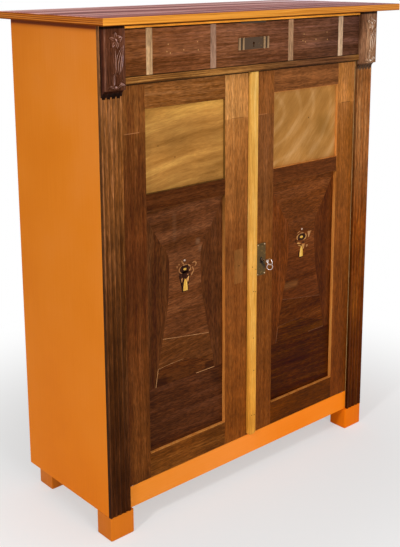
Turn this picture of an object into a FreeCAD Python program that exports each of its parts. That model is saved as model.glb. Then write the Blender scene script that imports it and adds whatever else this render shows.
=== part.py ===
"""Parlour cabinet with one drawer above two panelled doors.

Millimetres. The origin is on the floor, under the middle of the top board.
X runs to the right, Y to the back and Z up, so the front faces -Y.
"""
import FreeCAD, Part
import math
import os

X_AXIS = FreeCAD.Vector(1, 0, 0)
Y_AXIS = FreeCAD.Vector(0, 1, 0)
Z_AXIS = FreeCAD.Vector(0, 0, 1)

# Carcass
CASE_WIDTH = 960.0
CASE_DEPTH = 374.0
SIDE_THICKNESS = 18.0
HOUSING_DEPTH = 6.0
STUB_TENON = 10.0
POST_DEPTH = 32.0
BACK_THICKNESS = 9.0
BACK_REBATE = 9.0
BACK_BOARD_COUNT = 6
BACK_BOARD_CHAMFER = 1.5

# Top board
TOP_HEIGHT = 1295.0
TOP_THICKNESS = 18.0
TOP_OVERHANG_SIDE = 34.0
TOP_OVERHANG_FRONT = 66.0
TOP_OVERHANG_BACK = 5.0
TOP_EDGE_ROUND = 1.5

# Feet
FOOT_HEIGHT = 64.0
FOOT_WIDTH = 71.0
FOOT_DEPTH = 60.0
FOOT_EDGE_ROUND = 3.0
REAR_FOOT_INSET_SIDE = 23.0
REAR_FOOT_INSET_BACK = 8.0

# Pilasters and brackets
PILASTER_WIDTH = 62.0
PILASTER_THICKNESS = 9.0
FLUTE_COUNT = 4
FLUTE_DEPTH = 3.0
FLUTE_LAND = 3.0
PILASTER_MARGIN = 5.0
BRACKET_WIDTH = 58.0
BRACKET_HEIGHT = 172.0
BRACKET_PROJECTION = 20.0
BRACKET_COVE_HEIGHT = 27.0
BRACKET_COVE_HOLLOW = 5.0

# Rails of the carcass
BOTTOM_RAIL_HEIGHT = 58.0
RAIL_THICKNESS = 20.0
BOTTOM_BOARD_THICKNESS = 18.0
TOP_RAIL_HEIGHT = 12.0
TOP_RAIL_DEPTH = 58.0
TOP_RAIL_PROJECTION = 12.0
DIVIDER_THICKNESS = 17.0
DIVIDER_DEPTH = 58.0
DIVIDER_PROJECTION = 12.0
DRAWER_OPENING_HEIGHT = 111.0

# Shelves
LOWER_SHELF_SPACE = 315.0
UPPER_SHELF_SPACE = 317.0
SHELF_THICKNESS = 18.0
SHELF_PLAY = 0.5
SHELF_SETBACK = 15.0
BATTEN = 20.0

# Drawer
DRAWER_GAP = 1.5
DRAWER_PROJECTION = 10.0
DRAWER_FRONT_THICKNESS = 20.0
DRAWER_REAR_SPACE = 18.0
DRAWER_SIDE_THICKNESS = 12.0
DRAWER_LAP = 10.0
DRAWER_BOTTOM_THICKNESS = 6.0
DRAWER_BOTTOM_RAISE = 8.0
DRAWER_GROOVE = 6.0
DRAWER_BACK_DROP = 8.0
SLIDE_CLEARANCE = 0.3
KICKER_CLEARANCE = 2.0
RUNNER_LEDGE = 22.0
GUIDE_HEIGHT = 40.0
INLAY_WIDTH = 18.5
INLAY_DEPTH = 2.0
INLAY_INNER = 138.0
INLAY_OUTER = 338.0

# Drawer lock and its front plate
DRAWER_PLATE_WIDTH = 108.0
DRAWER_PLATE_HEIGHT = 30.0
DRAWER_PLATE_THICKNESS = 1.5
DRAWER_REED_RADIUS = 3.5
DRAWER_REED_PITCH = 13.0
SELVEDGE_LENGTH = 88.0
SELVEDGE_THICKNESS = 3.5
DRAWER_LOCK_WIDTH = 64.0
DRAWER_LOCK_HEIGHT = 64.0
DRAWER_BOLT_WIDTH = 18.0
DRAWER_BOLT_THICKNESS = 6.0
DRAWER_BOLT_HEIGHT = 40.0
DRAWER_BOLT_THROW = 7.0

# Doors
DOOR_THICKNESS = 22.0
DOOR_HEIGHT_GAP = 1.5
DOOR_SIDE_GAP = 2.0
MEETING_GAP = 1.5
MEETING_LINE = -7.0
HINGE_STILE = 70.0
PANEL_INNER_EDGE = 88.0
DOOR_BOTTOM_RAIL = 65.0
LOWER_PANEL_HEIGHT = 637.0
DOOR_MIDDLE_RAIL = 42.0
DOOR_TOP_RAIL = 61.0
TENON_LENGTH = 32.0
TENON_THICKNESS = 7.0
TENON_SHOULDER = 12.0
PANEL_REBATE = 8.0
PANEL_THICKNESS = 7.0
UPPER_PANEL_RECESS = 7.0
LOWER_PANEL_RECESS = 10.5
ASTRAGAL_WIDTH = 30.0
ASTRAGAL_THICKNESS = 9.0
ASTRAGAL_ROUND = 5.0

# Pivot hinges
PIVOT_INSET = 12.0
PIVOT_SETBACK = 6.0
PIVOT_RADIUS = 3.0
PIVOT_CLEARANCE = 0.05
PIVOT_LENGTH = 12.0
PIVOT_PLATE_LENGTH = 34.0
PIVOT_PLATE_WIDTH = 11.0
PIVOT_PLATE_THICKNESS = 2.0
BUSH_RADIUS = 5.0
BUSH_LENGTH = 14.0
COLLAR_RADIUS = 5.0
SEAT_CLEARANCE = 0.2

# Door lock, key and escutcheon
LOCK_HEIGHT = 624.0
LOCK_BACKSET = 51.0
LOCK_EDGE_INSET = 2.0
LOCK_WIDTH = 76.0
LOCK_DEPTH = 15.0
LOCK_ABOVE = 46.0
LOCK_BELOW = 34.0
LOCK_WALL = 1.5
LOCK_BOSS_RADIUS = 6.0
LOCK_BOSS_HEIGHT = 4.0
BOLT_RAISE = 15.0
BOLT_HEIGHT = 18.0
BOLT_THICKNESS = 7.0
BOLT_STANDOFF = 3.0
BOLT_LENGTH = 46.0
BOLT_THROW = 10.0
BOLT_CLEARANCE = 0.3
KEEPER_PLAY = 6.0
KEEPER_WALL = 2.5
KEY_SHANK_RADIUS = 3.0
KEY_CLEARANCE = 0.05
KEY_BIT_LENGTH = 10.5
KEY_BIT_THICKNESS = 2.4
KEY_BIT_PLAY = 1.0
KEY_REACH = 24.0
KEY_COLLAR_RADIUS = 4.4
KEY_COLLAR_LENGTH = 3.0
KEY_BOW_RADIUS = 8.8
KEY_BOW_WIRE = 1.4
KEY_RING_RADIUS = 7.8
KEY_RING_WIRE = 0.9
KEY_RING_TURN = 50.0
KEY_RING_PLAY = 0.25
KEYHOLE_PLAY = 0.5
ESCUTCHEON_WIDTH = 34.0
ESCUTCHEON_HEIGHT = 90.0
ESCUTCHEON_THICKNESS = 1.2
ESCUTCHEON_CORNER = 3.0
PIN_HEAD_RADIUS = 1.8
PIN_RADIUS = 0.8
PIN_LENGTH = 6.0
PIN_INSET = 4.0
PIN_CLEARANCE = 0.05

# Slide bolts of the left door
SLIDE_BOLT_WIDTH = 10.0
SLIDE_BOLT_THICKNESS = 4.0
SLIDE_BOLT_LENGTH = 128.0
SLIDE_BOLT_THROW = 10.0
SLIDE_BOLT_REST = 2.0
SLIDE_BOLT_OFFSET = 40.0
SLIDE_GUIDE_HEIGHT = 12.0
SLIDE_GUIDE_WALL = 3.0
SLIDE_GUIDE_END = 18.0
SLIDE_KNOB_RADIUS = 5.0
SLIDE_KNOB_LENGTH = 8.0

# Stop blocks and screws
STOP_WIDTH = 40.0
STOP_DEPTH = 16.0
STOP_HEIGHT = 14.0
DOOR_STOP_PLACE = 130.0
DRAWER_STOP_HEIGHT = 6.0
DRAWER_STOP_PLACE = 220.0
SCREW_RADIUS = 2.0
SCREW_HEAD_RADIUS = 4.0
SCREW_HEAD_HEIGHT = 2.5
SCREW_GRIP = 11.0
SCREW_CLEARANCE = 0.05
SCREW_INNER = 140.0
SCREW_OUTER = 330.0

# Planes and lines worked out from the sizes above
HALF = CASE_WIDTH / 2
INNER_HALF = HALF - SIDE_THICKNESS
OPENING_HALF = HALF - PILASTER_WIDTH
TOP_UNDER = TOP_HEIGHT - TOP_THICKNESS
TOP_DEPTH = TOP_OVERHANG_FRONT + CASE_DEPTH + TOP_OVERHANG_BACK
PILASTER_FRONT = TOP_OVERHANG_FRONT - TOP_DEPTH / 2
CASE_FRONT = PILASTER_FRONT + PILASTER_THICKNESS
CASE_BACK = PILASTER_FRONT + CASE_DEPTH
BACK_INNER = CASE_BACK - BACK_THICKNESS
POST_BACK = CASE_FRONT + POST_DEPTH
RAIL_TOP = FOOT_HEIGHT + BOTTOM_RAIL_HEIGHT
BOARD_UNDER = RAIL_TOP - BOTTOM_BOARD_THICKNESS
TOP_RAIL_UNDER = TOP_UNDER - TOP_RAIL_HEIGHT
TOP_RAIL_BACK = CASE_FRONT + TOP_RAIL_DEPTH
DIVIDER_TOP = TOP_RAIL_UNDER - DRAWER_OPENING_HEIGHT
DIVIDER_UNDER = DIVIDER_TOP - DIVIDER_THICKNESS
DIVIDER_BACK = CASE_FRONT + DIVIDER_DEPTH
DOOR_BACK = CASE_FRONT + DOOR_THICKNESS
DOOR_BOTTOM = RAIL_TOP + DOOR_HEIGHT_GAP
DOOR_TOP = DIVIDER_UNDER - DOOR_HEIGHT_GAP
HINGE_EDGE = OPENING_HALF - DOOR_SIDE_GAP
PIVOT_X = HINGE_EDGE - PIVOT_INSET
PIVOT_Y = CASE_FRONT + PIVOT_SETBACK
LEFT_MEETING_EDGE = MEETING_LINE - MEETING_GAP
RIGHT_MEETING_EDGE = MEETING_LINE
KEY_X = RIGHT_MEETING_EDGE + LOCK_BACKSET
BOLT_LOW = LOCK_HEIGHT + BOLT_RAISE
BOLT_HIGH = BOLT_LOW + BOLT_HEIGHT
BOLT_NEAR = DOOR_BACK + BOLT_STANDOFF
BOLT_FAR = BOLT_NEAR + BOLT_THICKNESS
SLIDE_BOLT_X = LEFT_MEETING_EDGE - SLIDE_BOLT_OFFSET
SLIDE_BOLT_NEAR = DOOR_BACK + SEAT_CLEARANCE
SLIDE_BOLT_FAR = SLIDE_BOLT_NEAR + SLIDE_BOLT_THICKNESS
DRAWER_HALF = OPENING_HALF - DRAWER_GAP
DRAWER_FACE = CASE_FRONT - DRAWER_PROJECTION
DRAWER_FRONT_BACK = DRAWER_FACE + DRAWER_FRONT_THICKNESS
DRAWER_FRONT_LOW = DIVIDER_TOP + DRAWER_GAP
DRAWER_FRONT_HIGH = TOP_RAIL_UNDER - DRAWER_GAP
DRAWER_KEY_Z = (DRAWER_FRONT_LOW + DRAWER_FRONT_HIGH) / 2
DRAWER_END = BACK_INNER - DRAWER_REAR_SPACE
DRAWER_SIDE_LOW = DIVIDER_TOP + SLIDE_CLEARANCE
DRAWER_SIDE_HIGH = TOP_RAIL_UNDER - KICKER_CLEARANCE
DRAWER_BOTTOM_LOW = DRAWER_SIDE_LOW + DRAWER_BOTTOM_RAISE
DRAWER_BOTTOM_HIGH = DRAWER_BOTTOM_LOW + DRAWER_BOTTOM_THICKNESS
DRAWER_LOCK_DEPTH = DRAWER_BOLT_THICKNESS + 2 * BOLT_STANDOFF + LOCK_WALL
DRAWER_BOLT_NEAR = DRAWER_FRONT_BACK + BOLT_STANDOFF
DRAWER_BOLT_FAR = DRAWER_BOLT_NEAR + DRAWER_BOLT_THICKNESS
SHELF_FRONT = max(POST_BACK, DOOR_BACK + LOCK_DEPTH) + SHELF_SETBACK
LOWER_SHELF_UNDER = RAIL_TOP + LOWER_SHELF_SPACE
UPPER_SHELF_UNDER = LOWER_SHELF_UNDER + SHELF_THICKNESS + UPPER_SHELF_SPACE

NODES = {}


def point(x, y, z):
    """A point in space."""
    return FreeCAD.Vector(x, y, z)


def block(x0, x1, y0, y1, z0, z1):
    """A box between two opposite corners, given in any order."""
    low = point(min(x0, x1), min(y0, y1), min(z0, z1))
    return Part.makeBox(abs(x1 - x0), abs(y1 - y0), abs(z1 - z0), low)


def joined(first, *others):
    """One solid made of touching or crossing shapes, without seams on its flat faces."""
    return first.fuse(list(others)).removeSplitter().Solids[0]


def without(first, *others):
    """One solid with the other shapes taken out of it."""
    return first.cut(list(others)).removeSplitter().Solids[0]


def prism_x(outline, x0, x1):
    """A closed wire in the YZ plane at x0, drawn along X to x1."""
    return Part.Face(outline).extrude(point(x1 - x0, 0, 0))


def place(name, *solids):
    """Keep one node, as a single solid or as a group of separate solids."""
    NODES[name] = solids[0] if len(solids) == 1 else Part.makeCompound(list(solids))


def keyhole(x, y0, y1, z, radius, slot_half, slot_length):
    """A round hole along Y with a slot below it for the key's bit."""
    round_part = Part.makeCylinder(radius, y1 - y0, point(x, y0, z), Y_AXIS)
    slot = block(x - slot_half, x + slot_half, y0, y1, z - slot_length, z)
    return joined(round_part, slot)


def top_screw_places():
    """Axes of the screws that hold the top board, as (x, y)."""
    front_y = CASE_FRONT + (DRAWER_FRONT_THICKNESS + TOP_RAIL_DEPTH) / 2
    rear_y = BACK_INNER - TOP_RAIL_DEPTH / 2
    columns = (-SCREW_OUTER, -SCREW_INNER, SCREW_INNER, SCREW_OUTER)
    return [(x, y) for y in (front_y, rear_y) for x in columns]


def screw(x, y, clearance):
    """A countersunk screw driven upwards, or its hole when a clearance is given."""
    start = point(x, y, TOP_RAIL_UNDER)
    head = Part.makeCylinder(SCREW_HEAD_RADIUS + clearance, SCREW_HEAD_HEIGHT, start, Z_AXIS)
    length = TOP_RAIL_HEIGHT + SCREW_GRIP + clearance
    shank = Part.makeCylinder(SCREW_RADIUS + clearance, length, start, Z_AXIS)
    return joined(head, shank)


def drawer_bolt_box(rise, clearance):
    """The drawer lock's bolt, lifted by rise and grown by a clearance on its sides."""
    half = DRAWER_BOLT_WIDTH / 2 + clearance
    low = DRAWER_FRONT_HIGH - DRAWER_BOLT_HEIGHT + rise
    high = DRAWER_FRONT_HIGH + rise + clearance
    return block(-half, half, DRAWER_BOLT_NEAR - clearance, DRAWER_BOLT_FAR + clearance, low, high)


def slide_bolt_box(z0, z1, clearance):
    """A stretch of the left door's slide bolts, grown by a clearance on its sides."""
    half = SLIDE_BOLT_WIDTH / 2 + clearance
    return block(SLIDE_BOLT_X - half, SLIDE_BOLT_X + half,
                 SLIDE_BOLT_NEAR - clearance, SLIDE_BOLT_FAR + clearance, z0, z1)


def pivot_plate(side, z0, z1):
    """A hinge plate at one side of the opening, between two levels."""
    edge = side * HINGE_EDGE
    half = PIVOT_PLATE_WIDTH / 2
    return block(edge, edge - side * PIVOT_PLATE_LENGTH, PIVOT_Y - half, PIVOT_Y + half, z0, z1)


def top_board():
    """The overhanging top board with lightly rounded edges and blind holes for its screws."""
    half = HALF + TOP_OVERHANG_SIDE
    board = block(-half, half, -TOP_DEPTH / 2, TOP_DEPTH / 2, TOP_UNDER, TOP_HEIGHT)
    board = board.makeFillet(TOP_EDGE_ROUND, board.Edges)
    holes = [screw(x, y, SCREW_CLEARANCE) for x, y in top_screw_places()]
    place("top_slab", without(board, *holes))
    place("case_screws", *[screw(x, y, 0.0) for x, y in top_screw_places()])


def carcass():
    """Sides, posts, bottom, back and the rails that tie them together."""
    tenon_y0 = CASE_FRONT + RAIL_THICKNESS / 4
    tenon_y1 = CASE_FRONT + RAIL_THICKNESS * 3 / 4
    reach = OPENING_HALF + STUB_TENON

    def tenon_bar(z0, z1):
        """The stub tenons of one front rail, drawn through from post to post."""
        return block(-reach, reach, tenon_y0, tenon_y1, z0, z1)

    bottom_tenon = tenon_bar(FOOT_HEIGHT + BOTTOM_RAIL_HEIGHT / 4, RAIL_TOP - BOTTOM_RAIL_HEIGHT / 4)
    divider_tenon = tenon_bar(DIVIDER_UNDER + DIVIDER_THICKNESS / 4, DIVIDER_TOP - DIVIDER_THICKNESS / 4)
    top_tenon = tenon_bar(TOP_RAIL_UNDER + TOP_RAIL_HEIGHT / 4, TOP_UNDER - TOP_RAIL_HEIGHT / 4)

    board_half = INNER_HALF + HOUSING_DEPTH
    board = block(-board_half, board_half, CASE_FRONT + RAIL_THICKNESS, BACK_INNER, BOARD_UNDER, RAIL_TOP)
    posts = []
    for side, name in ((-1, "left_side"), (1, "right_side")):
        panel = block(side * INNER_HALF, side * HALF, CASE_FRONT, CASE_BACK, FOOT_HEIGHT, TOP_UNDER)
        rebate = block(side * INNER_HALF, side * (INNER_HALF + BACK_REBATE),
                       BACK_INNER, CASE_BACK, FOOT_HEIGHT, TOP_UNDER)
        housing = block(side * INNER_HALF, side * board_half, POST_BACK, BACK_INNER, BOARD_UNDER, RAIL_TOP)
        place(name, without(panel, rebate, housing))
        post = block(side * OPENING_HALF, side * INNER_HALF, CASE_FRONT, POST_BACK, FOOT_HEIGHT, TOP_UNDER)
        posts.append(without(post, bottom_tenon, divider_tenon, top_tenon))
        corner = block(side * OPENING_HALF, side * board_half,
                       CASE_FRONT, POST_BACK, BOARD_UNDER, RAIL_TOP)
        board = board.cut(corner)
    place("front_posts", *posts)

    bolt_path = slide_bolt_box(DOOR_BOTTOM + SLIDE_BOLT_REST - SLIDE_BOLT_THROW - BOLT_CLEARANCE,
                               DOOR_BOTTOM, BOLT_CLEARANCE)
    place("bottom_board", without(board, bolt_path))

    plate_low = RAIL_TOP - PIVOT_PLATE_THICKNESS
    plate_high = DIVIDER_UNDER + PIVOT_PLATE_THICKNESS
    lower_plates = [pivot_plate(side, plate_low, RAIL_TOP) for side in (-1, 1)]
    upper_plates = [pivot_plate(side, DIVIDER_UNDER, plate_high) for side in (-1, 1)]

    rail = block(-OPENING_HALF, OPENING_HALF, CASE_FRONT, CASE_FRONT + RAIL_THICKNESS,
                 FOOT_HEIGHT, RAIL_TOP)
    place("bottom_rail", without(joined(rail, bottom_tenon), bolt_path, *lower_plates))

    divider = block(-OPENING_HALF, OPENING_HALF, CASE_FRONT - DIVIDER_PROJECTION, DIVIDER_BACK,
                    DIVIDER_UNDER, DIVIDER_TOP)
    bolt_path = slide_bolt_box(DOOR_TOP, DOOR_TOP - SLIDE_BOLT_REST + SLIDE_BOLT_THROW + BOLT_CLEARANCE,
                               BOLT_CLEARANCE)
    place("drawer_divider", without(joined(divider, divider_tenon), bolt_path, *upper_plates))

    holes = [screw(x, y, SCREW_CLEARANCE) for x, y in top_screw_places()]
    top_rail = block(-OPENING_HALF, OPENING_HALF, CASE_FRONT - TOP_RAIL_PROJECTION, TOP_RAIL_BACK,
                     TOP_RAIL_UNDER, TOP_UNDER)
    lock_slot = drawer_bolt_box(DRAWER_BOLT_THROW, BOLT_CLEARANCE)
    place("top_rail", without(joined(top_rail, top_tenon), lock_slot, *holes))
    rear_rail = block(-INNER_HALF, INNER_HALF, BACK_INNER - TOP_RAIL_DEPTH, BACK_INNER,
                      TOP_RAIL_UNDER, TOP_UNDER)
    place("rear_top_rail", without(rear_rail, *holes))
    place("rear_bottom_rail", block(-INNER_HALF, INNER_HALF, BACK_INNER - RAIL_THICKNESS, BACK_INNER,
                                    FOOT_HEIGHT, BOARD_UNDER))

    pins = []
    for side, low, high in zip((-1, 1), lower_plates, upper_plates):
        x = side * PIVOT_X
        collar = Part.makeCylinder(COLLAR_RADIUS, DOOR_HEIGHT_GAP - SEAT_CLEARANCE,
                                   point(x, PIVOT_Y, RAIL_TOP), Z_AXIS)
        length = DOOR_HEIGHT_GAP + PIVOT_LENGTH
        lower_start = point(x, PIVOT_Y, RAIL_TOP)
        upper_start = point(x, PIVOT_Y, DIVIDER_UNDER - length)
        lower_pin = Part.makeCylinder(PIVOT_RADIUS, length, lower_start, Z_AXIS)
        upper_pin = Part.makeCylinder(PIVOT_RADIUS, length, upper_start, Z_AXIS)
        pins.append(joined(low, collar, lower_pin))
        pins.append(joined(high, upper_pin))
    place("hinge_pins", *pins)


def back_boards():
    """Upright back boards side by side, each with its outer long edges chamfered."""
    span = 2 * (INNER_HALF + BACK_REBATE)
    width = span / BACK_BOARD_COUNT
    boards = []
    for index in range(BACK_BOARD_COUNT):
        x0 = -span / 2 + index * width
        x1 = x0 + width
        cut = BACK_BOARD_CHAMFER
        outline = Part.makePolygon([
            point(x0, BACK_INNER, FOOT_HEIGHT),
            point(x1, BACK_INNER, FOOT_HEIGHT),
            point(x1, CASE_BACK - cut, FOOT_HEIGHT),
            point(x1 - cut, CASE_BACK, FOOT_HEIGHT),
            point(x0 + cut, CASE_BACK, FOOT_HEIGHT),
            point(x0, CASE_BACK - cut, FOOT_HEIGHT),
            point(x0, BACK_INNER, FOOT_HEIGHT),
        ])
        boards.append(Part.Face(outline).extrude(point(0, 0, TOP_UNDER - FOOT_HEIGHT)))
    place("back_boards", *boards)


def feet():
    """Four block feet with rounded upright edges: the rear pair stands in from the sides."""
    rear_start = CASE_BACK - REAR_FOOT_INSET_BACK - FOOT_DEPTH
    for side, word in ((-1, "left"), (1, "right")):
        for end, inset, y0 in (("front", 0.0, PILASTER_FRONT), ("rear", REAR_FOOT_INSET_SIDE, rear_start)):
            outer = side * (HALF - inset)
            foot = block(outer, outer - side * FOOT_WIDTH, y0, y0 + FOOT_DEPTH, 0.0, FOOT_HEIGHT)
            upright = [edge for edge in foot.Edges if abs(edge.BoundBox.ZLength - FOOT_HEIGHT) < 1e-6]
            place(f"{end}_{word}_foot", foot.makeFillet(FOOT_EDGE_ROUND, upright))


def front_dressing():
    """Fluted pilasters with a coved bracket on the upper end of each."""
    flutes_span = PILASTER_WIDTH - 2 * PILASTER_MARGIN
    flute_width = (flutes_span - (FLUTE_COUNT - 1) * FLUTE_LAND) / FLUTE_COUNT
    flute_radius = (flute_width ** 2 / 4 + FLUTE_DEPTH ** 2) / (2 * FLUTE_DEPTH)
    flute_y = PILASTER_FRONT + FLUTE_DEPTH - flute_radius
    height = TOP_UNDER - FOOT_HEIGHT
    front = PILASTER_FRONT - BRACKET_PROJECTION
    low = TOP_UNDER - BRACKET_HEIGHT
    shoulder = low + BRACKET_COVE_HEIGHT
    chord = math.hypot(BRACKET_PROJECTION, BRACKET_COVE_HEIGHT)
    hollow_y = BRACKET_COVE_HOLLOW * BRACKET_COVE_HEIGHT / chord
    hollow_z = BRACKET_COVE_HOLLOW * BRACKET_PROJECTION / chord
    for side, word in ((-1, "left"), (1, "right")):
        middle = side * (HALF - PILASTER_WIDTH / 2)
        board = block(middle - PILASTER_WIDTH / 2, middle + PILASTER_WIDTH / 2,
                      PILASTER_FRONT, CASE_FRONT, FOOT_HEIGHT, TOP_UNDER)
        start = middle - flutes_span / 2 + flute_width / 2
        flutes = []
        for index in range(FLUTE_COUNT):
            x = start + index * (flute_width + FLUTE_LAND)
            flutes.append(Part.makeCylinder(flute_radius, height, point(x, flute_y, FOOT_HEIGHT), Z_AXIS))
        place(f"{word}_pilaster", without(board, *flutes))

        x0 = middle - BRACKET_WIDTH / 2
        corners = [point(x0, PILASTER_FRONT, low), point(x0, PILASTER_FRONT, TOP_UNDER),
                   point(x0, front, TOP_UNDER), point(x0, front, shoulder)]
        cove_middle = point(x0, front + BRACKET_PROJECTION / 2 + hollow_y,
                            shoulder - BRACKET_COVE_HEIGHT / 2 + hollow_z)
        edges = [Part.LineSegment(a, b).toShape() for a, b in zip(corners, corners[1:])]
        edges.append(Part.Arc(corners[3], cove_middle, corners[0]).toShape())
        place(f"{word}_bracket", prism_x(Part.Wire(edges), x0, x0 + BRACKET_WIDTH))


def shelves():
    """Two loose shelves on battens along the sides."""
    battens = []
    half = INNER_HALF - SHELF_PLAY
    for name, under in (("lower_shelf", LOWER_SHELF_UNDER), ("upper_shelf", UPPER_SHELF_UNDER)):
        place(name, block(-half, half, SHELF_FRONT, BACK_INNER, under, under + SHELF_THICKNESS))
        for side in (-1, 1):
            battens.append(block(side * INNER_HALF, side * (INNER_HALF - BATTEN), SHELF_FRONT, BACK_INNER,
                                 under - BATTEN, under))
    place("shelf_battens", *battens)


def drawer_ways():
    """Runners with side guides under the drawer, kickers above it, and the stop blocks."""
    ledge = OPENING_HALF - RUNNER_LEDGE
    runners = []
    kickers = []
    for side in (-1, 1):
        flat = block(side * ledge, side * INNER_HALF, DIVIDER_BACK, BACK_INNER, DIVIDER_UNDER, DIVIDER_TOP)
        guide = block(side * OPENING_HALF, side * INNER_HALF, DIVIDER_BACK, BACK_INNER,
                      DIVIDER_TOP, DIVIDER_TOP + GUIDE_HEIGHT)
        runners.append(joined(flat, guide))
        kickers.append(block(side * ledge, side * INNER_HALF, TOP_RAIL_BACK, BACK_INNER - TOP_RAIL_DEPTH,
                             TOP_RAIL_UNDER, TOP_UNDER))
    place("drawer_runners", *runners)
    place("drawer_kickers", *kickers)

    stops = []
    for side in (-1, 1):
        x = side * DOOR_STOP_PLACE
        stops.append(block(x - STOP_WIDTH / 2, x + STOP_WIDTH / 2, DOOR_BACK, DOOR_BACK + STOP_DEPTH,
                           DIVIDER_UNDER - STOP_HEIGHT, DIVIDER_UNDER))
        stops.append(block(x - STOP_WIDTH / 2, x + STOP_WIDTH / 2, DOOR_BACK, DOOR_BACK + STOP_DEPTH,
                           RAIL_TOP, RAIL_TOP + STOP_HEIGHT))
        x = side * DRAWER_STOP_PLACE
        stops.append(block(x - STOP_WIDTH / 2, x + STOP_WIDTH / 2, DRAWER_FRONT_BACK,
                           DRAWER_FRONT_BACK + STOP_DEPTH, DIVIDER_TOP, DIVIDER_TOP + DRAWER_STOP_HEIGHT))
    place("stop_blocks", *stops)


def drawer():
    """The drawer: front with inlaid strips, lapped sides, grooved-in bottom, back, lock and bolt."""
    front = block(-DRAWER_HALF, DRAWER_HALF, DRAWER_FACE, DRAWER_FRONT_BACK,
                  DRAWER_FRONT_LOW, DRAWER_FRONT_HIGH)
    side_start = DRAWER_FRONT_BACK - DRAWER_LAP
    inner = DRAWER_HALF - DRAWER_SIDE_THICKNESS
    bottom = block(-inner - DRAWER_GROOVE, inner + DRAWER_GROOVE,
                   DRAWER_FRONT_BACK - DRAWER_GROOVE, DRAWER_END, DRAWER_BOTTOM_LOW, DRAWER_BOTTOM_HIGH)
    sides = [block(side * inner, side * DRAWER_HALF, side_start, DRAWER_END,
                   DRAWER_SIDE_LOW, DRAWER_SIDE_HIGH) for side in (-1, 1)]
    strips = []
    for x in (-INLAY_OUTER, -INLAY_INNER, INLAY_INNER, INLAY_OUTER):
        strips.append(block(x - INLAY_WIDTH / 2, x + INLAY_WIDTH / 2, DRAWER_FACE, DRAWER_FACE + INLAY_DEPTH,
                            DRAWER_FRONT_LOW, DRAWER_FRONT_HIGH))
    selvedge_low = DRAWER_FRONT_HIGH - SELVEDGE_THICKNESS
    lock_back = DRAWER_FRONT_BACK + DRAWER_LOCK_DEPTH
    selvedge = block(-SELVEDGE_LENGTH / 2, SELVEDGE_LENGTH / 2, DRAWER_FACE, lock_back,
                     selvedge_low, DRAWER_FRONT_HIGH)
    hole_radius = KEY_SHANK_RADIUS + KEYHOLE_PLAY
    slot_half = KEY_BIT_THICKNESS / 2 + KEYHOLE_PLAY
    slot_length = KEY_BIT_LENGTH + KEYHOLE_PLAY
    plate_front = DRAWER_FACE - DRAWER_PLATE_THICKNESS
    key_way = keyhole(0.0, plate_front - DRAWER_REED_RADIUS, DRAWER_FRONT_BACK, DRAWER_KEY_Z,
                      hole_radius, slot_half, slot_length)
    place("drawer_front", without(front, bottom, selvedge, key_way, *sides, *strips))
    place("drawer_left_side", without(sides[0], bottom))
    place("drawer_right_side", without(sides[1], bottom))
    place("drawer_bottom", bottom)
    place("drawer_back", block(-inner, inner, DRAWER_END - DRAWER_SIDE_THICKNESS, DRAWER_END,
                               DRAWER_BOTTOM_HIGH, DRAWER_SIDE_HIGH - DRAWER_BACK_DROP))
    place("drawer_inlay_strips", *strips)

    plate = block(-DRAWER_PLATE_WIDTH / 2, DRAWER_PLATE_WIDTH / 2, plate_front, DRAWER_FACE,
                  DRAWER_KEY_Z - DRAWER_PLATE_HEIGHT / 2, DRAWER_KEY_Z + DRAWER_PLATE_HEIGHT / 2)
    reeds = []
    for side in (-1, 1):
        for step in (0, 1):
            x = side * (DRAWER_PLATE_WIDTH / 2 - DRAWER_REED_RADIUS - step * DRAWER_REED_PITCH)
            reed = Part.makeCylinder(DRAWER_REED_RADIUS, DRAWER_PLATE_HEIGHT,
                                     point(x, plate_front, DRAWER_KEY_Z - DRAWER_PLATE_HEIGHT / 2), Z_AXIS)
            behind = block(x - 2 * DRAWER_REED_RADIUS, x + 2 * DRAWER_REED_RADIUS, plate_front,
                           plate_front + 2 * DRAWER_REED_RADIUS, DRAWER_FRONT_LOW, DRAWER_FRONT_HIGH)
            reeds.append(reed.cut(behind))
    place("drawer_escutcheon", without(joined(plate, *reeds), key_way))

    half = DRAWER_LOCK_WIDTH / 2
    low = DRAWER_FRONT_HIGH - DRAWER_LOCK_HEIGHT
    case = block(-half, half, DRAWER_FRONT_BACK, lock_back, low, selvedge_low)
    hollow = block(-half + LOCK_WALL, half - LOCK_WALL, DRAWER_FRONT_BACK, lock_back - LOCK_WALL,
                   low + LOCK_WALL, selvedge_low)
    ledge_high = DRAWER_FRONT_HIGH - DRAWER_BOLT_HEIGHT - SEAT_CLEARANCE
    ledge = block(-DRAWER_BOLT_WIDTH / 2, DRAWER_BOLT_WIDTH / 2, DRAWER_BOLT_NEAR, lock_back - LOCK_WALL,
                  ledge_high - LOCK_WALL, ledge_high)
    shell = joined(case.cut(hollow), selvedge, ledge)
    place("drawer_lock", without(shell, drawer_bolt_box(0.0, BOLT_CLEARANCE)))
    place("drawer_lock_bolt", drawer_bolt_box(0.0, 0.0))


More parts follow.
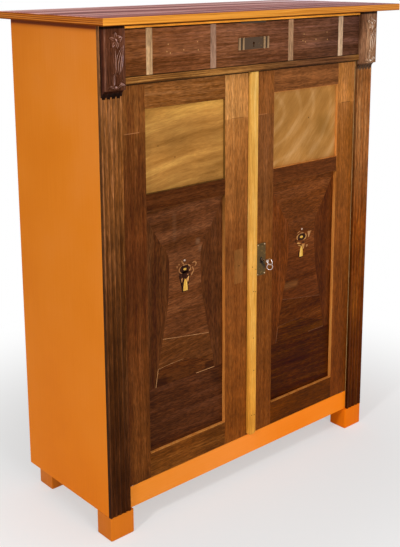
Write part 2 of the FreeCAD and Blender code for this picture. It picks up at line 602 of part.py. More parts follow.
def door_frame(side, word, meeting_edge, extra_cuts):
    """One frame-and-panel door: stiles, tenoned rails, panels in rebates, beads and hinge sockets."""
    hinge_edge = side * HINGE_EDGE
    hinge_inner = hinge_edge - side * HINGE_STILE
    meeting_inner = side * PANEL_INNER_EDGE
    lower_sill = DOOR_BOTTOM + DOOR_BOTTOM_RAIL
    lower_head = lower_sill + LOWER_PANEL_HEIGHT
    upper_sill = lower_head + DOOR_MIDDLE_RAIL
    upper_head = DOOR_TOP - DOOR_TOP_RAIL
    left = min(hinge_inner, meeting_inner)
    right = max(hinge_inner, meeting_inner)

    pockets = []
    beads = []
    for name, sill, head, recess in (("lower", lower_sill, lower_head, LOWER_PANEL_RECESS),
                                     ("upper", upper_sill, upper_head, UPPER_PANEL_RECESS)):
        x0 = left - PANEL_REBATE
        x1 = right + PANEL_REBATE
        z0 = sill - PANEL_REBATE
        z1 = head + PANEL_REBATE
        face = CASE_FRONT + recess
        panel_back = face + PANEL_THICKNESS
        pockets.append(block(x0, x1, face, DOOR_BACK, z0, z1))
        place(f"{word}_door_{name}_panel", block(x0, x1, face, panel_back, z0, z1))
        bead = PANEL_REBATE
        beads.append(block(x0, x0 + bead, panel_back, DOOR_BACK, z0, z1))
        beads.append(block(x1 - bead, x1, panel_back, DOOR_BACK, z0, z1))
        beads.append(block(x0 + bead, x1 - bead, panel_back, DOOR_BACK, z0, z0 + bead))
        beads.append(block(x0 + bead, x1 - bead, panel_back, DOOR_BACK, z1 - bead, z1))
    place(f"{word}_door_panel_beads", *beads)

    tenon_near = CASE_FRONT + (DOOR_THICKNESS - TENON_THICKNESS) / 2
    rails = []
    tenons = []
    for z0, z1 in ((DOOR_BOTTOM, lower_sill), (lower_head, upper_sill), (upper_head, DOOR_TOP)):
        rail = block(left, right, CASE_FRONT, DOOR_BACK, z0, z1)
        tenon = block(left - TENON_LENGTH, right + TENON_LENGTH, tenon_near, tenon_near + TENON_THICKNESS,
                      z0 + TENON_SHOULDER, z1 - TENON_SHOULDER)
        tenons.append(tenon)
        rails.append(without(joined(rail, tenon), *pockets))
    place(f"{word}_door_rails", *rails)

    x = side * PIVOT_X
    sockets = []
    seats = []
    for edge, way in ((DOOR_BOTTOM, 1), (DOOR_TOP, -1)):
        plate = pivot_plate(side, edge, edge + way * PIVOT_PLATE_THICKNESS)
        deep = PIVOT_PLATE_THICKNESS + BUSH_LENGTH
        start = point(x, PIVOT_Y, min(edge, edge + way * deep))
        bush = Part.makeCylinder(BUSH_RADIUS, deep, start, Z_AXIS)
        bore = Part.makeCylinder(PIVOT_RADIUS + PIVOT_CLEARANCE, deep, start, Z_AXIS)
        seat = joined(plate, bush)
        seats.append(seat)
        sockets.append(without(seat, bore))
    place(f"{word}_door_hinge_sockets", *sockets)

    stile = block(hinge_edge, hinge_inner, CASE_FRONT, DOOR_BACK, DOOR_BOTTOM, DOOR_TOP)
    place(f"{word}_door_hinge_stile", without(stile, *pockets, *tenons, *seats))
    stile = block(meeting_edge, meeting_inner, CASE_FRONT, DOOR_BACK, DOOR_BOTTOM, DOOR_TOP)
    place(f"{word}_door_meeting_stile", without(stile, *pockets, *tenons, *extra_cuts))


def left_door():
    """The passive door, with the lock's keeper and two slide bolts on its back."""
    door_frame(-1, "left", LEFT_MEETING_EDGE, [])

    keeper_far = BOLT_FAR + BOLT_CLEARANCE + KEEPER_WALL
    keeper_low = BOLT_LOW - BOLT_CLEARANCE - KEEPER_WALL
    keeper_high = BOLT_HIGH + BOLT_CLEARANCE + KEEPER_WALL
    keeper_edge = LEFT_MEETING_EDGE - BOLT_CLEARANCE
    mouth_end = RIGHT_MEETING_EDGE + LOCK_EDGE_INSET - BOLT_THROW - KEEPER_PLAY
    keeper = block(mouth_end - KEEPER_WALL, keeper_edge, DOOR_BACK, keeper_far, keeper_low, keeper_high)
    mouth = block(mouth_end, keeper_edge, BOLT_NEAR - BOLT_CLEARANCE, BOLT_FAR + BOLT_CLEARANCE,
                  BOLT_LOW - BOLT_CLEARANCE, BOLT_HIGH + BOLT_CLEARANCE)
    place("left_door_keeper", without(keeper, mouth))

    guides = []
    half = SLIDE_BOLT_WIDTH / 2 + BOLT_CLEARANCE + SLIDE_GUIDE_WALL
    far = SLIDE_BOLT_FAR + BOLT_CLEARANCE + SLIDE_GUIDE_WALL
    for name, tip, way in (("left_door_top_bolt", DOOR_TOP - SLIDE_BOLT_REST, -1),
                           ("left_door_bottom_bolt", DOOR_BOTTOM + SLIDE_BOLT_REST, 1)):
        tail = tip + way * SLIDE_BOLT_LENGTH
        for z in (tip + way * SLIDE_GUIDE_END, tail - way * SLIDE_GUIDE_END):
            low = z - SLIDE_GUIDE_HEIGHT / 2
            high = z + SLIDE_GUIDE_HEIGHT / 2
            staple = block(SLIDE_BOLT_X - half, SLIDE_BOLT_X + half, DOOR_BACK, far, low, high)
            guides.append(without(staple, slide_bolt_box(low, high, BOLT_CLEARANCE)))
        bar = slide_bolt_box(tip, tail, 0.0)
        knob = Part.makeCylinder(SLIDE_KNOB_RADIUS, SLIDE_KNOB_LENGTH,
                                 point(SLIDE_BOLT_X, SLIDE_BOLT_FAR, (tip + tail) / 2), Y_AXIS)
        place(name, joined(bar, knob))
    place("left_door_bolt_guides", *guides)


def escutcheon_pin_places():
    """Middles of the escutcheon's corner pins, as (x, z)."""
    across = ESCUTCHEON_WIDTH / 2 - PIN_INSET
    along = ESCUTCHEON_HEIGHT / 2 - PIN_INSET
    return [(KEY_X + sx * across, LOCK_HEIGHT + sz * along) for sx in (-1, 1) for sz in (-1, 1)]


def right_door():
    """The active door, with the astragal, the escutcheon, the rim lock and the key."""
    plate_front = CASE_FRONT - ESCUTCHEON_THICKNESS
    slot_half = KEY_BIT_THICKNESS / 2 + KEYHOLE_PLAY
    slot_length = KEY_BIT_LENGTH + KEYHOLE_PLAY
    key_way = keyhole(KEY_X, CASE_FRONT, DOOR_BACK, LOCK_HEIGHT, KEY_SHANK_RADIUS + KEYHOLE_PLAY,
                      slot_half, slot_length)
    pins = []
    pin_holes = []
    for x, z in escutcheon_pin_places():
        shank = Part.makeCylinder(PIN_RADIUS, PIN_LENGTH, point(x, plate_front, z), Y_AXIS)
        head = Part.makeSphere(PIN_HEAD_RADIUS, point(x, plate_front, z), -Y_AXIS, 0, 90, 360)
        pins.append(joined(head, shank))
        pin_holes.append(Part.makeCylinder(PIN_RADIUS + PIN_CLEARANCE, PIN_LENGTH + PIN_CLEARANCE,
                                           point(x, plate_front, z), Y_AXIS))
    door_frame(1, "right", RIGHT_MEETING_EDGE, [key_way, *pin_holes])

    plate = block(KEY_X - ESCUTCHEON_WIDTH / 2, KEY_X + ESCUTCHEON_WIDTH / 2, plate_front, CASE_FRONT,
                  LOCK_HEIGHT - ESCUTCHEON_HEIGHT / 2, LOCK_HEIGHT + ESCUTCHEON_HEIGHT / 2)
    corners = [edge for edge in plate.Edges if abs(edge.BoundBox.YLength - ESCUTCHEON_THICKNESS) < 1e-6
               and edge.BoundBox.XLength < 1e-6 and edge.BoundBox.ZLength < 1e-6]
    plate = plate.makeFillet(ESCUTCHEON_CORNER, corners)
    plate_hole = keyhole(KEY_X, plate_front, CASE_FRONT, LOCK_HEIGHT, KEY_SHANK_RADIUS + KEY_CLEARANCE,
                         slot_half, slot_length)
    place("door_escutcheon", without(plate, plate_hole, *pin_holes))
    place("escutcheon_pins", *pins)

    strip = block(RIGHT_MEETING_EDGE, RIGHT_MEETING_EDGE + ASTRAGAL_WIDTH,
                  CASE_FRONT - ASTRAGAL_THICKNESS, CASE_FRONT, DOOR_BOTTOM, DOOR_TOP)
    long_edges = [edge for edge in strip.Edges
                  if edge.BoundBox.ZLength > ASTRAGAL_WIDTH and edge.BoundBox.YMax < CASE_FRONT - 1e-3]
    place("astragal_strip", strip.makeFillet(ASTRAGAL_ROUND, long_edges))

    case_left = RIGHT_MEETING_EDGE + LOCK_EDGE_INSET
    case_right = case_left + LOCK_WIDTH
    case_back = DOOR_BACK + LOCK_DEPTH
    case_low = LOCK_HEIGHT - LOCK_BELOW
    case_high = LOCK_HEIGHT + LOCK_ABOVE
    inside_back = case_back - LOCK_WALL
    case = block(case_left, case_right, DOOR_BACK, case_back, case_low, case_high)
    hollow = block(case_left + LOCK_WALL, case_right - LOCK_WALL, DOOR_BACK, inside_back,
                   case_low + LOCK_WALL, case_high - LOCK_WALL)
    boss_face = inside_back - LOCK_BOSS_HEIGHT
    boss_start = point(KEY_X, boss_face, LOCK_HEIGHT)
    boss = Part.makeCylinder(LOCK_BOSS_RADIUS, LOCK_BOSS_HEIGHT, boss_start, Y_AXIS)
    boss_bore = Part.makeCylinder(KEY_SHANK_RADIUS + KEY_CLEARANCE, LOCK_BOSS_HEIGHT, boss_start, Y_AXIS)
    rib_high = BOLT_LOW - SEAT_CLEARANCE
    rib = block(case_left, case_left + BOLT_LENGTH, BOLT_NEAR, inside_back, rib_high - LOCK_WALL, rib_high)
    shell = joined(case.cut(hollow), boss, rib)
    bolt_end = case_left + BOLT_LENGTH
    bolt = block(case_left, bolt_end, BOLT_NEAR, BOLT_FAR, BOLT_LOW, BOLT_HIGH)
    mouth = block(case_left, case_left + LOCK_WALL, BOLT_NEAR - BOLT_CLEARANCE, BOLT_FAR + BOLT_CLEARANCE,
                  BOLT_LOW - SEAT_CLEARANCE, BOLT_HIGH + BOLT_CLEARANCE)
    place("door_lock_case", without(shell, boss_bore, mouth))
    place("door_lock_bolt", bolt)

    key_tip = boss_face + LOCK_BOSS_HEIGHT - KEY_BIT_PLAY
    bow_near = plate_front - KEY_REACH
    bow_y = bow_near - KEY_BOW_RADIUS
    shank_start = point(KEY_X, bow_near, LOCK_HEIGHT)
    shank = Part.makeCylinder(KEY_SHANK_RADIUS, key_tip - bow_near, shank_start, Y_AXIS)
    collar = Part.makeCylinder(KEY_COLLAR_RADIUS, KEY_COLLAR_LENGTH, shank_start, Y_AXIS)
    bit_low = LOCK_HEIGHT - KEY_BIT_LENGTH
    bit = block(KEY_X - KEY_BIT_THICKNESS / 2, KEY_X + KEY_BIT_THICKNESS / 2,
                DOOR_BACK + KEY_BIT_PLAY, boss_face - KEY_BIT_PLAY, bit_low, LOCK_HEIGHT)
    bow = Part.makeTorus(KEY_BOW_RADIUS, KEY_BOW_WIRE, point(KEY_X, bow_y, LOCK_HEIGHT), X_AXIS)
    key = joined(shank, collar, bit, bow)
    ring_drop = KEY_BOW_RADIUS - KEY_BOW_WIRE - KEY_RING_WIRE - KEY_RING_PLAY + KEY_RING_RADIUS
    turn = math.radians(KEY_RING_TURN)
    ring = Part.makeTorus(KEY_RING_RADIUS, KEY_RING_WIRE, point(KEY_X, bow_y, LOCK_HEIGHT - ring_drop),
                          point(math.cos(turn), math.sin(turn), 0))
    place("door_key", key, ring)


def main():
    """Build every piece and write one STEP file for each node."""
    top_board()
    carcass()
    back_boards()
    feet()
    front_dressing()
    shelves()
    drawer_ways()
    drawer()
    left_door()
    right_door()
    os.makedirs("parts", exist_ok=True)
    for name, shape in NODES.items():
        shape.exportStep(f"parts/{name}.step")


main()
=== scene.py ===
"""Looks of the parlour cabinet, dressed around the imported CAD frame.

Lengths are metres in the frame's own axes: x to the right, y to the back, z up, floor at z = 0.
Colours are written as they look on a screen, and turned into light values by tone().
"""

import logging
import math
from collections.abc import Sequence
from dataclasses import dataclass, replace
from enum import Enum

import bpy
import numpy as np
from mathutils import Matrix, Vector


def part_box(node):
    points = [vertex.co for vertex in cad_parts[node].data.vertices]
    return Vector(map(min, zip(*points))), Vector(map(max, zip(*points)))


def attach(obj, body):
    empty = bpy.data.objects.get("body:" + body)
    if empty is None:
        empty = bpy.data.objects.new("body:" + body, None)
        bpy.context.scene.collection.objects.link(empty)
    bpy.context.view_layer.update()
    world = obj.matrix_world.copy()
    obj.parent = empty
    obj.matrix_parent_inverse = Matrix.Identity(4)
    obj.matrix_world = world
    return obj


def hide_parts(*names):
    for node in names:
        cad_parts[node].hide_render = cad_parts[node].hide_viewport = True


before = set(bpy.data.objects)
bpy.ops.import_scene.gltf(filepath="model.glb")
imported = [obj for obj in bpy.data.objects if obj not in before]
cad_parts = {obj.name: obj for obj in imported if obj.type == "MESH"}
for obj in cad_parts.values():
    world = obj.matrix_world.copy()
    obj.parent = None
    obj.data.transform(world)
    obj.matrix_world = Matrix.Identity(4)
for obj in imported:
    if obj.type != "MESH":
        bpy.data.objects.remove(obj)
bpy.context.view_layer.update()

LOG = logging.getLogger("parlour_cabinet")
MM = 0.001
QUARTER = 0.5 * math.pi
# Usual eased edges of wood and metal, and how far a door panel runs into its frame.
EASE = 0.8 * MM
METAL_EASE = 0.3 * MM
REBATE = 8.0 * MM
ORIGIN = (0.0, 0.0, 0.0)
Array = np.ndarray
Socket = bpy.types.NodeSocket
Value = Socket | float
Span = tuple[float, float]
Three = tuple[float, float, float]
Point = Sequence[float]
Colour = tuple[float, float, float, float]
Tones = tuple[str, str, str]
Tint = float | Three
Shade = tuple[tuple[float, Tint], ...]


class Axis(Enum):
    """The frame's axes, by their place in a point."""

    X = 0
    Y = 1
    Z = 2


Shades = tuple[tuple[Axis, Shade], ...]


class Side(Enum):
    """The left or right half of the cabinet, by the sign of x."""

    LEFT = -1
    RIGHT = 1

    @property
    def word(self) -> str:
        """The side's name as it stands in the node names."""
        return self.name.lower()


def tone(screen: str) -> Colour:
    """Turns a screen colour into linear light.

    Args:
        screen: six hexadecimal digits, red first.

    Returns:
        Red, green, blue and an alpha of 1: c / 12.92 below 0.04045, else ((c + 0.055) / 1.055) ** 2.4.
    """
    parts = np.array([int(screen[i : i + 2], 16) for i in (0, 2, 4)]) / 255.0
    light = np.where(parts <= 0.04045, parts / 12.92, ((parts + 0.055) / 1.055) ** 2.4)
    return (*light.tolist(), 1.0)


class Graph:
    """Adds and joins the nodes of one material or world."""

    def __init__(self, tree: bpy.types.NodeTree) -> None:
        """Starts from an emptied node tree."""
        self.tree = tree
        tree.nodes.clear()

    def add(self, kind: str, inputs: Sequence | dict = (), **settings: object) -> bpy.types.Node:
        """Adds a node, and joins its sockets to others or sets their own constants.

        Args:
            kind: Blender's name of the node type.
            inputs: what the sockets get, in their order or by their names or numbers.
            settings: properties set on the node.

        Returns:
            The new node.
        """
        node = self.tree.nodes.new(kind)
        for key, value in settings.items():
            setattr(node, key, value)
        for key, value in inputs.items() if isinstance(inputs, dict) else enumerate(inputs):
            if isinstance(value, Socket):
                self.tree.links.new(value, node.inputs[key])
            else:
                node.inputs[key].default_value = value
        return node

    def point(self) -> Socket:
        """The place on the piece in Object coordinates, which are the frame's metres."""
        return self.add("ShaderNodeTexCoord").outputs["Object"]

    def facing(self) -> Socket:
        """1 where the piece's own surface faces the front, 0 on its edges and back."""
        normal = self.add("ShaderNodeTexCoord").outputs["Normal"]
        return self.span(self.parts(normal)[1], -0.8, -0.4, 1.0, 0.0)

    def normal(self) -> Socket:
        """The surface's own direction."""
        return self.add("ShaderNodeNewGeometry").outputs["Normal"]

    def parts(self, vector: Socket) -> list[Socket]:
        """Splits a vector into its x, y and z sockets."""
        return list(self.add("ShaderNodeSeparateXYZ", (vector,)).outputs)

    def vector(self, operation: str, *inputs: Socket | Point) -> bpy.types.NodeOutputs:
        """Works out a vector and a Value from others by Blender's operation, such as LENGTH."""
        return self.add("ShaderNodeVectorMath", inputs, operation=operation).outputs

    def math(self, operation: str, first: Value, second: Value = 0.0, third: Value = 0.0) -> Socket:
        """Works out a number from up to three others by Blender's operation, such as MULTIPLY."""
        return self.add("ShaderNodeMath", (first, second, third), operation=operation).outputs[0]

    def blend(self, first: Socket, share: float, second: Socket, rest: float) -> Socket:
        """Adds two values, each times its share."""
        return self.math("MULTIPLY_ADD", first, share, self.math("MULTIPLY", second, rest))

    def span(self, value: Socket, low: float, high: float, start: float = 0.0, end: float = 1.0) -> Socket:
        """Maps a value from low..high smoothly to start..end, and holds it beyond them."""
        inputs = (value, low, high, start, end)
        return self.add("ShaderNodeMapRange", inputs, interpolation_type="SMOOTHSTEP").outputs[0]

    def window(self, place: Socket, ends: Span, soft: float, share: float = 1.0) -> Socket:
        """The share between two ends and 0 beyond their soft borders."""
        rise = self.span(place, ends[0] - soft, ends[0], 0.0, share)
        return self.math("MULTIPLY", rise, self.span(place, ends[1], ends[1] + soft, 1.0, 0.0))

    def place(self, point: Socket, size: Point, centre: Point = ORIGIN, turn: Point = ORIGIN) -> Socket:
        """A point in pattern units: moved by -centre, turned back by turn in radians, divided by size."""
        return self.add("ShaderNodeMapping", (point, centre, turn, size), vector_type="TEXTURE").outputs[0]

    def cube(self, point: Socket, size: float, centre: Point = ORIGIN) -> Socket:
        """A point in pattern units of one size all ways."""
        return self.place(point, (size, size, size), centre)

    def noise(self, point: Socket, detail: float = 3.0, rough: float = 0.55) -> Socket:
        """Clouds around 0.5, about one pattern unit wide, with so many finer octaves of such strength."""
        inputs = {"Vector": point, "Scale": 1.0, "Detail": detail, "Roughness": rough}
        return self.add("ShaderNodeTexNoise", inputs).outputs["Fac"]

    def wander(self, point: Socket, size: float, reach: float) -> Socket:
        """Moves a point by noise that swerves once in each size: point + reach * noise colour."""
        node = self.add("ShaderNodeTexNoise", {"Vector": self.cube(point, size), "Scale": 1.0, "Detail": 1.0})
        return self.vector("MULTIPLY_ADD", node.outputs["Color"], (reach, reach, reach), point)[0]

    def ramp(self, factor: Socket, stops: Sequence[tuple[float, Colour]], stepped: bool = False) -> Socket:
        """Picks a colour along a row of stops.

        Args:
            factor: place along the row, 0 to 1.
            stops: places with their colours, in order.
            stepped: holds each colour up to the next stop.

        Returns:
            The colour's socket.
        """
        node = self.add("ShaderNodeValToRGB", (factor,))
        band = node.color_ramp
        band.interpolation = "CONSTANT" if stepped else "LINEAR"
        while len(band.elements) < len(stops):
            band.elements.new(1.0)
        for element, (position, colour) in zip(band.elements, stops):
            element.position = position
            element.color = colour
        return node.outputs[0]

    def three_tones(self, value: Socket, reach: float, tones: Tones) -> Socket:
        """Runs from dark at 0.5 - reach over the middle tone to light at 0.5 + reach."""
        stops = zip((0.5 - reach, 0.5, 0.5 + reach), map(tone, tones))
        return self.ramp(value, list(stops))

    def mix(self, share: Value, first: Socket | Colour, second: Socket | Colour, kind: str = "MIX") -> Socket:
        """Mixes a share of the second colour into the first, in Blender's blend mode."""
        inputs = {0: share, 6: first, 7: second}
        return self.add("ShaderNodeMix", inputs, data_type="RGBA", blend_type=kind).outputs[2]

    def shade(self, colour: Socket | Colour, place: Socket, stops: Shade) -> Socket:
        """Multiplies a colour by a tint that runs evenly from one place to the next.

        Args:
            colour: the colour to shade.
            place: the coordinate that the stops are given in.
            stops: places in order, each with one factor or one for red, green and blue.

        Returns:
            The shaded colour.
        """
        first, last = stops[0][0], stops[-1][0]
        along = self.add("ShaderNodeMapRange", (place, first, last, 0.0, 1.0)).outputs[0]
        tints = np.array([np.broadcast_to(part, 3) for _, part in stops], dtype=float)
        most = float(tints.max())
        places = [(at - first) / (last - first) for at, _ in stops]
        row = [(at, (*part, 1.0)) for at, part in zip(places, (tints / most).tolist())]
        dimmed = self.mix(1.0, colour, self.ramp(along, row), "MULTIPLY")
        return self.mix(1.0, dimmed, (most, most, most, 1.0), "MULTIPLY")

    def bump(self, height: Socket, strength: float, depth: float) -> Socket:
        """Turns a height into a shading normal; a height of 1 stands for the depth in metres."""
        inputs = {"Strength": strength, "Distance": depth, "Height": height}
        return self.add("ShaderNodeBump", inputs).outputs["Normal"]

    def edges(self, radius: float) -> Socket:
        """Up to about 0.3 on worn edges: 1 - the dot of the normal and the normal rounded over the radius."""
        rounded = self.add("ShaderNodeBevel", {"Radius": radius}, samples=4).outputs[0]
        return self.math("SUBTRACT", 1.0, self.vector("DOT_PRODUCT", rounded, self.normal())["Value"])

    def shader(self, inputs: dict[str, Socket | float | Colour]) -> None:
        """Ends the tree in a Principled shader with the named sockets fed."""
        node = self.add("ShaderNodeBsdfPrincipled", inputs)
        self.add("ShaderNodeOutputMaterial", {"Surface": node.outputs[0]})


@dataclass(frozen=True)
class Patch:
    """A rectangle of changed tone on a front face, in x and z.

    Attributes:
        x: left and right edge.
        z: lower and upper edge.
        colour: colour laid over.
        share: how strongly.
        soft: width of the patch's soft border.
    """

    x: Span
    z: Span
    colour: str
    share: float = 0.5
    soft: float = 1.0 * MM

    def over(self, graph: Graph, colour: Socket, places: Sequence[Socket]) -> Socket:
        """Lays the patch over a colour: its share inside and 0 outside, with soft borders.

        Args:
            graph: the material's nodes.
            colour: the colour below.
            places: x, y and z of the point.

        Returns:
            The colour with the patch.
        """
        across = graph.window(places[0], self.x, self.soft, self.share)
        upwards = graph.window(places[2], self.z, self.soft)
        return graph.mix(graph.math("MULTIPLY", across, upwards), colour, tone(self.colour))


def dot(x: float, z: float, size: float = 0.9 * MM) -> Patch:
    """A small dark knot or nail hole at a place on a front face."""
    return Patch((x - size, x + size), (z - size, z + size), "301808", 0.8, 1.2 * MM)


@dataclass(frozen=True)
class Finish:
    """What every finish shares: a name and a material that is made once."""

    name: str

    def nodes(self, graph: Graph) -> None:
        """Builds the material's nodes; each finish has its own."""
        raise NotImplementedError

    def material(self) -> bpy.types.Material:
        """Makes the finish's material at its first use.

        Returns:
            The material.
        """
        label = f"{self.name}_finish"
        found = bpy.data.materials.get(label)
        if found is None:
            found = bpy.data.materials.new(label)
            found.use_nodes = True
            self.nodes(Graph(found.node_tree))
        return found

    def dress(self, piece: bpy.types.Object) -> None:
        """Puts the finish on a piece as its only material."""
        piece.data.materials.clear()
        piece.data.materials.append(self.material())


# Values between which most of a noise lies.
NOISE = (0.3, 0.7)
# A wood's small marks: width across the grain, and length over width.
FIBRE = (1.4 * MM, 36.0)
FLECK = (2.8 * MM, 6.0)
PORE = (1.3 * MM, 14.0)
PORE_TONE = "1c0f08"
# Metres from one swerve or cloud to the next, how far a wood's streaks reach either side of 0.5, and a
# broad streak's width over a fine one's.
SWERVE = 0.16
CLOUD = 0.11
REACH = 0.105
BROAD = 3.5


@dataclass(frozen=True)
class Wood(Finish):
    """Planed, stained and polished wood: streaks, fibres and pores drawn out along the grain.

    Attributes:
        tones: colours of the dark streaks, of the ground and of the light streaks.
        grain: axis that the grain follows.
        tilt: turn of the grain in the front plane, in degrees.
        streak: width of a streak.
        stretch: length of a streak over its width.
        sway: how far streaks swerve sideways.
        contrast: how far the streaks use dark and light.
        pores: darkness of the pores.
        mottle: strength of cloudy lighter and darker places.
        fleck: strength of short flecks along the grain.
        gloss: roughness of the polish.
        shine: strength of the polish's mirror light.
        wear: how much paler the edges are rubbed.
        start: the plank's own place in the tree, so that no two boards match.
        shades: axes, each with places along it and the tint that the board has there.
        gap_shadow: tints by height that the front face alone has: the painted shadow line of a gap beside it.
        blend: shares of broad streaks, fine streaks and fibres in the pattern.
        ridges: painted highlights and shade of carved slopes, from 0 turned away from the window to 1 turned
            to it.
        columns: places along x from which a strip has its own colour.
        patches: repaired or faded rectangles.
        rings: centre of bent growth lines in x and z, with their spacing and share, if the veneer has them.
    """

    tones: Tones
    grain: Axis = Axis.Z
    tilt: float = 0.0
    streak: float = 7.0 * MM
    stretch: float = 26.0
    sway: float = 10.0 * MM
    contrast: float = 1.0
    pores: float = 0.35
    mottle: float = 0.18
    fleck: float = 0.24
    gloss: float = 0.45
    shine: float = 0.03
    wear: float = 0.35
    start: float = 0.0
    shades: Shades = ()
    gap_shadow: Shade = ()
    blend: Three = (0.34, 0.36, 0.30)
    ridges: Shade = ()
    columns: tuple[tuple[float, str], ...] = ()
    patches: tuple[Patch, ...] = ()
    rings: tuple[float, float, float, float] | None = None

    @property
    def centre(self) -> Three:
        """Where the plank's pattern starts."""
        return (self.start * 0.37, self.start * 0.61, self.start)

    def drawn(self, graph: Graph, point: Socket, width: float, stretch: float, *octaves: float) -> Socket:
        """Noise that is drawn out along the grain.

        Args:
            graph: the material's nodes.
            point: the swerved point.
            width: the pattern's width across the grain.
            stretch: its length along the grain over that width.
            octaves: number of finer octaves, and how strong they are.

        Returns:
            The noise's value.
        """
        size = [width * (stretch if axis is self.grain else 1.0) for axis in Axis]
        turn = (0.0, math.radians(self.tilt), 0.0)
        return graph.noise(graph.place(point, size, self.centre, turn), *octaves)

    def nodes(self, graph: Graph) -> None:
        """Ramps dark to light over broad + fine streaks, then adds clouds, pores, patches and worn edges.

        Args:
            graph: the material's nodes.
        """
        point = graph.point()
        places = graph.parts(point)
        bent = graph.wander(point, SWERVE, self.sway)
        broad = self.drawn(graph, bent, self.streak * BROAD, self.stretch, 2.0)
        fine = self.drawn(graph, bent, self.streak, self.stretch, 5.0, 0.65)
        fibre = self.drawn(graph, bent, *FIBRE, 2.0)
        streaks = graph.blend(broad, self.blend[0], fine, self.blend[1])
        streaks = graph.math("MULTIPLY_ADD", fibre, self.blend[2], streaks)
        if self.rings is not None:
            streaks = self.bent_lines(graph, bent, streaks)
        colour = graph.three_tones(streaks, REACH / self.contrast, self.tones)
        clouds = graph.noise(graph.cube(point, CLOUD, self.centre))
        clouds = graph.span(clouds, *NOISE, 1.0 - self.mottle, 1.0 + self.mottle)
        flecks = self.drawn(graph, bent, *FLECK, 2.0)
        flecks = graph.span(flecks, *NOISE, 1.0 - self.fleck, 1.0 + self.fleck)
        colour = graph.mix(1.0, colour, graph.math("MULTIPLY", clouds, flecks), "MULTIPLY")
        if self.columns:
            stops = [(0.5 + place, tone(screen)) for place, screen in self.columns]
            strip = graph.ramp(graph.math("ADD", places[0], 0.5), stops, stepped=True)
            colour = graph.mix(1.0, colour, strip, "MULTIPLY")
        for axis, stops in self.shades:
            colour = graph.shade(colour, places[axis.value], stops)
        # Painted shadow line of a neighbouring gap, on front faces alone.
        if self.gap_shadow:
            colour = graph.mix(graph.facing(), colour, graph.shade(colour, places[2], self.gap_shadow))
        # Painted highlights and shade on carved slopes, from the value stored on the mesh.
        if self.ridges:
            painted_light = graph.add("ShaderNodeAttribute", attribute_name="painted_light").outputs["Fac"]
            colour = graph.shade(colour, painted_light, self.ridges)
        pore = self.drawn(graph, bent, *PORE, 1.0)
        pore = graph.span(pore, 0.56, 0.68, 0.0, self.pores)
        colour = graph.mix(pore, colour, tone(PORE_TONE))
        for patch in self.patches:
            colour = patch.over(graph, colour, places)
        if self.wear > 0.0:
            rubbed = graph.span(graph.edges(1.6 * MM), 0.02, 0.22, 0.0, self.wear)
            rubbed = graph.math("MULTIPLY", rubbed, graph.span(fine, 0.35, 0.6))
            colour = graph.mix(rubbed, colour, tone(self.tones[2]))
        graph.shader(
            {
                "Base Color": colour,
                "Roughness": graph.span(fine, *NOISE, self.gloss - 0.07, self.gloss + 0.1),
                "Normal": graph.bump(graph.math("SUBTRACT", fibre, pore), 0.35, 0.25 * MM),
                "Specular IOR Level": self.shine,
            }
        )

    def bent_lines(self, graph: Graph, point: Socket, streaks: Socket) -> Socket:
        """Adds growth lines round a centre, sines of the distance from it: soft bands and thin pale lines.

        Args:
            graph: the material's nodes.
            point: the swerved point.
            streaks: the straight streaks' value.

        Returns:
            The streaks with the bent lines added.
        """
        x, z, spacing, share = self.rings
        flat = graph.place(graph.wander(point, 0.12, 0.03), (1.0, 1.0e6, 0.72), (x, 0.0, z))
        far = graph.vector("LENGTH", flat)["Value"]
        wave = graph.math("SINE", graph.math("MULTIPLY", far, 2.0 * math.pi / spacing))
        streaks = graph.math("MULTIPLY_ADD", wave, 0.2 * share, streaks)
        return graph.math("ADD", streaks, graph.span(wave, 0.6, 1.0, 0.0, 0.6 * share))


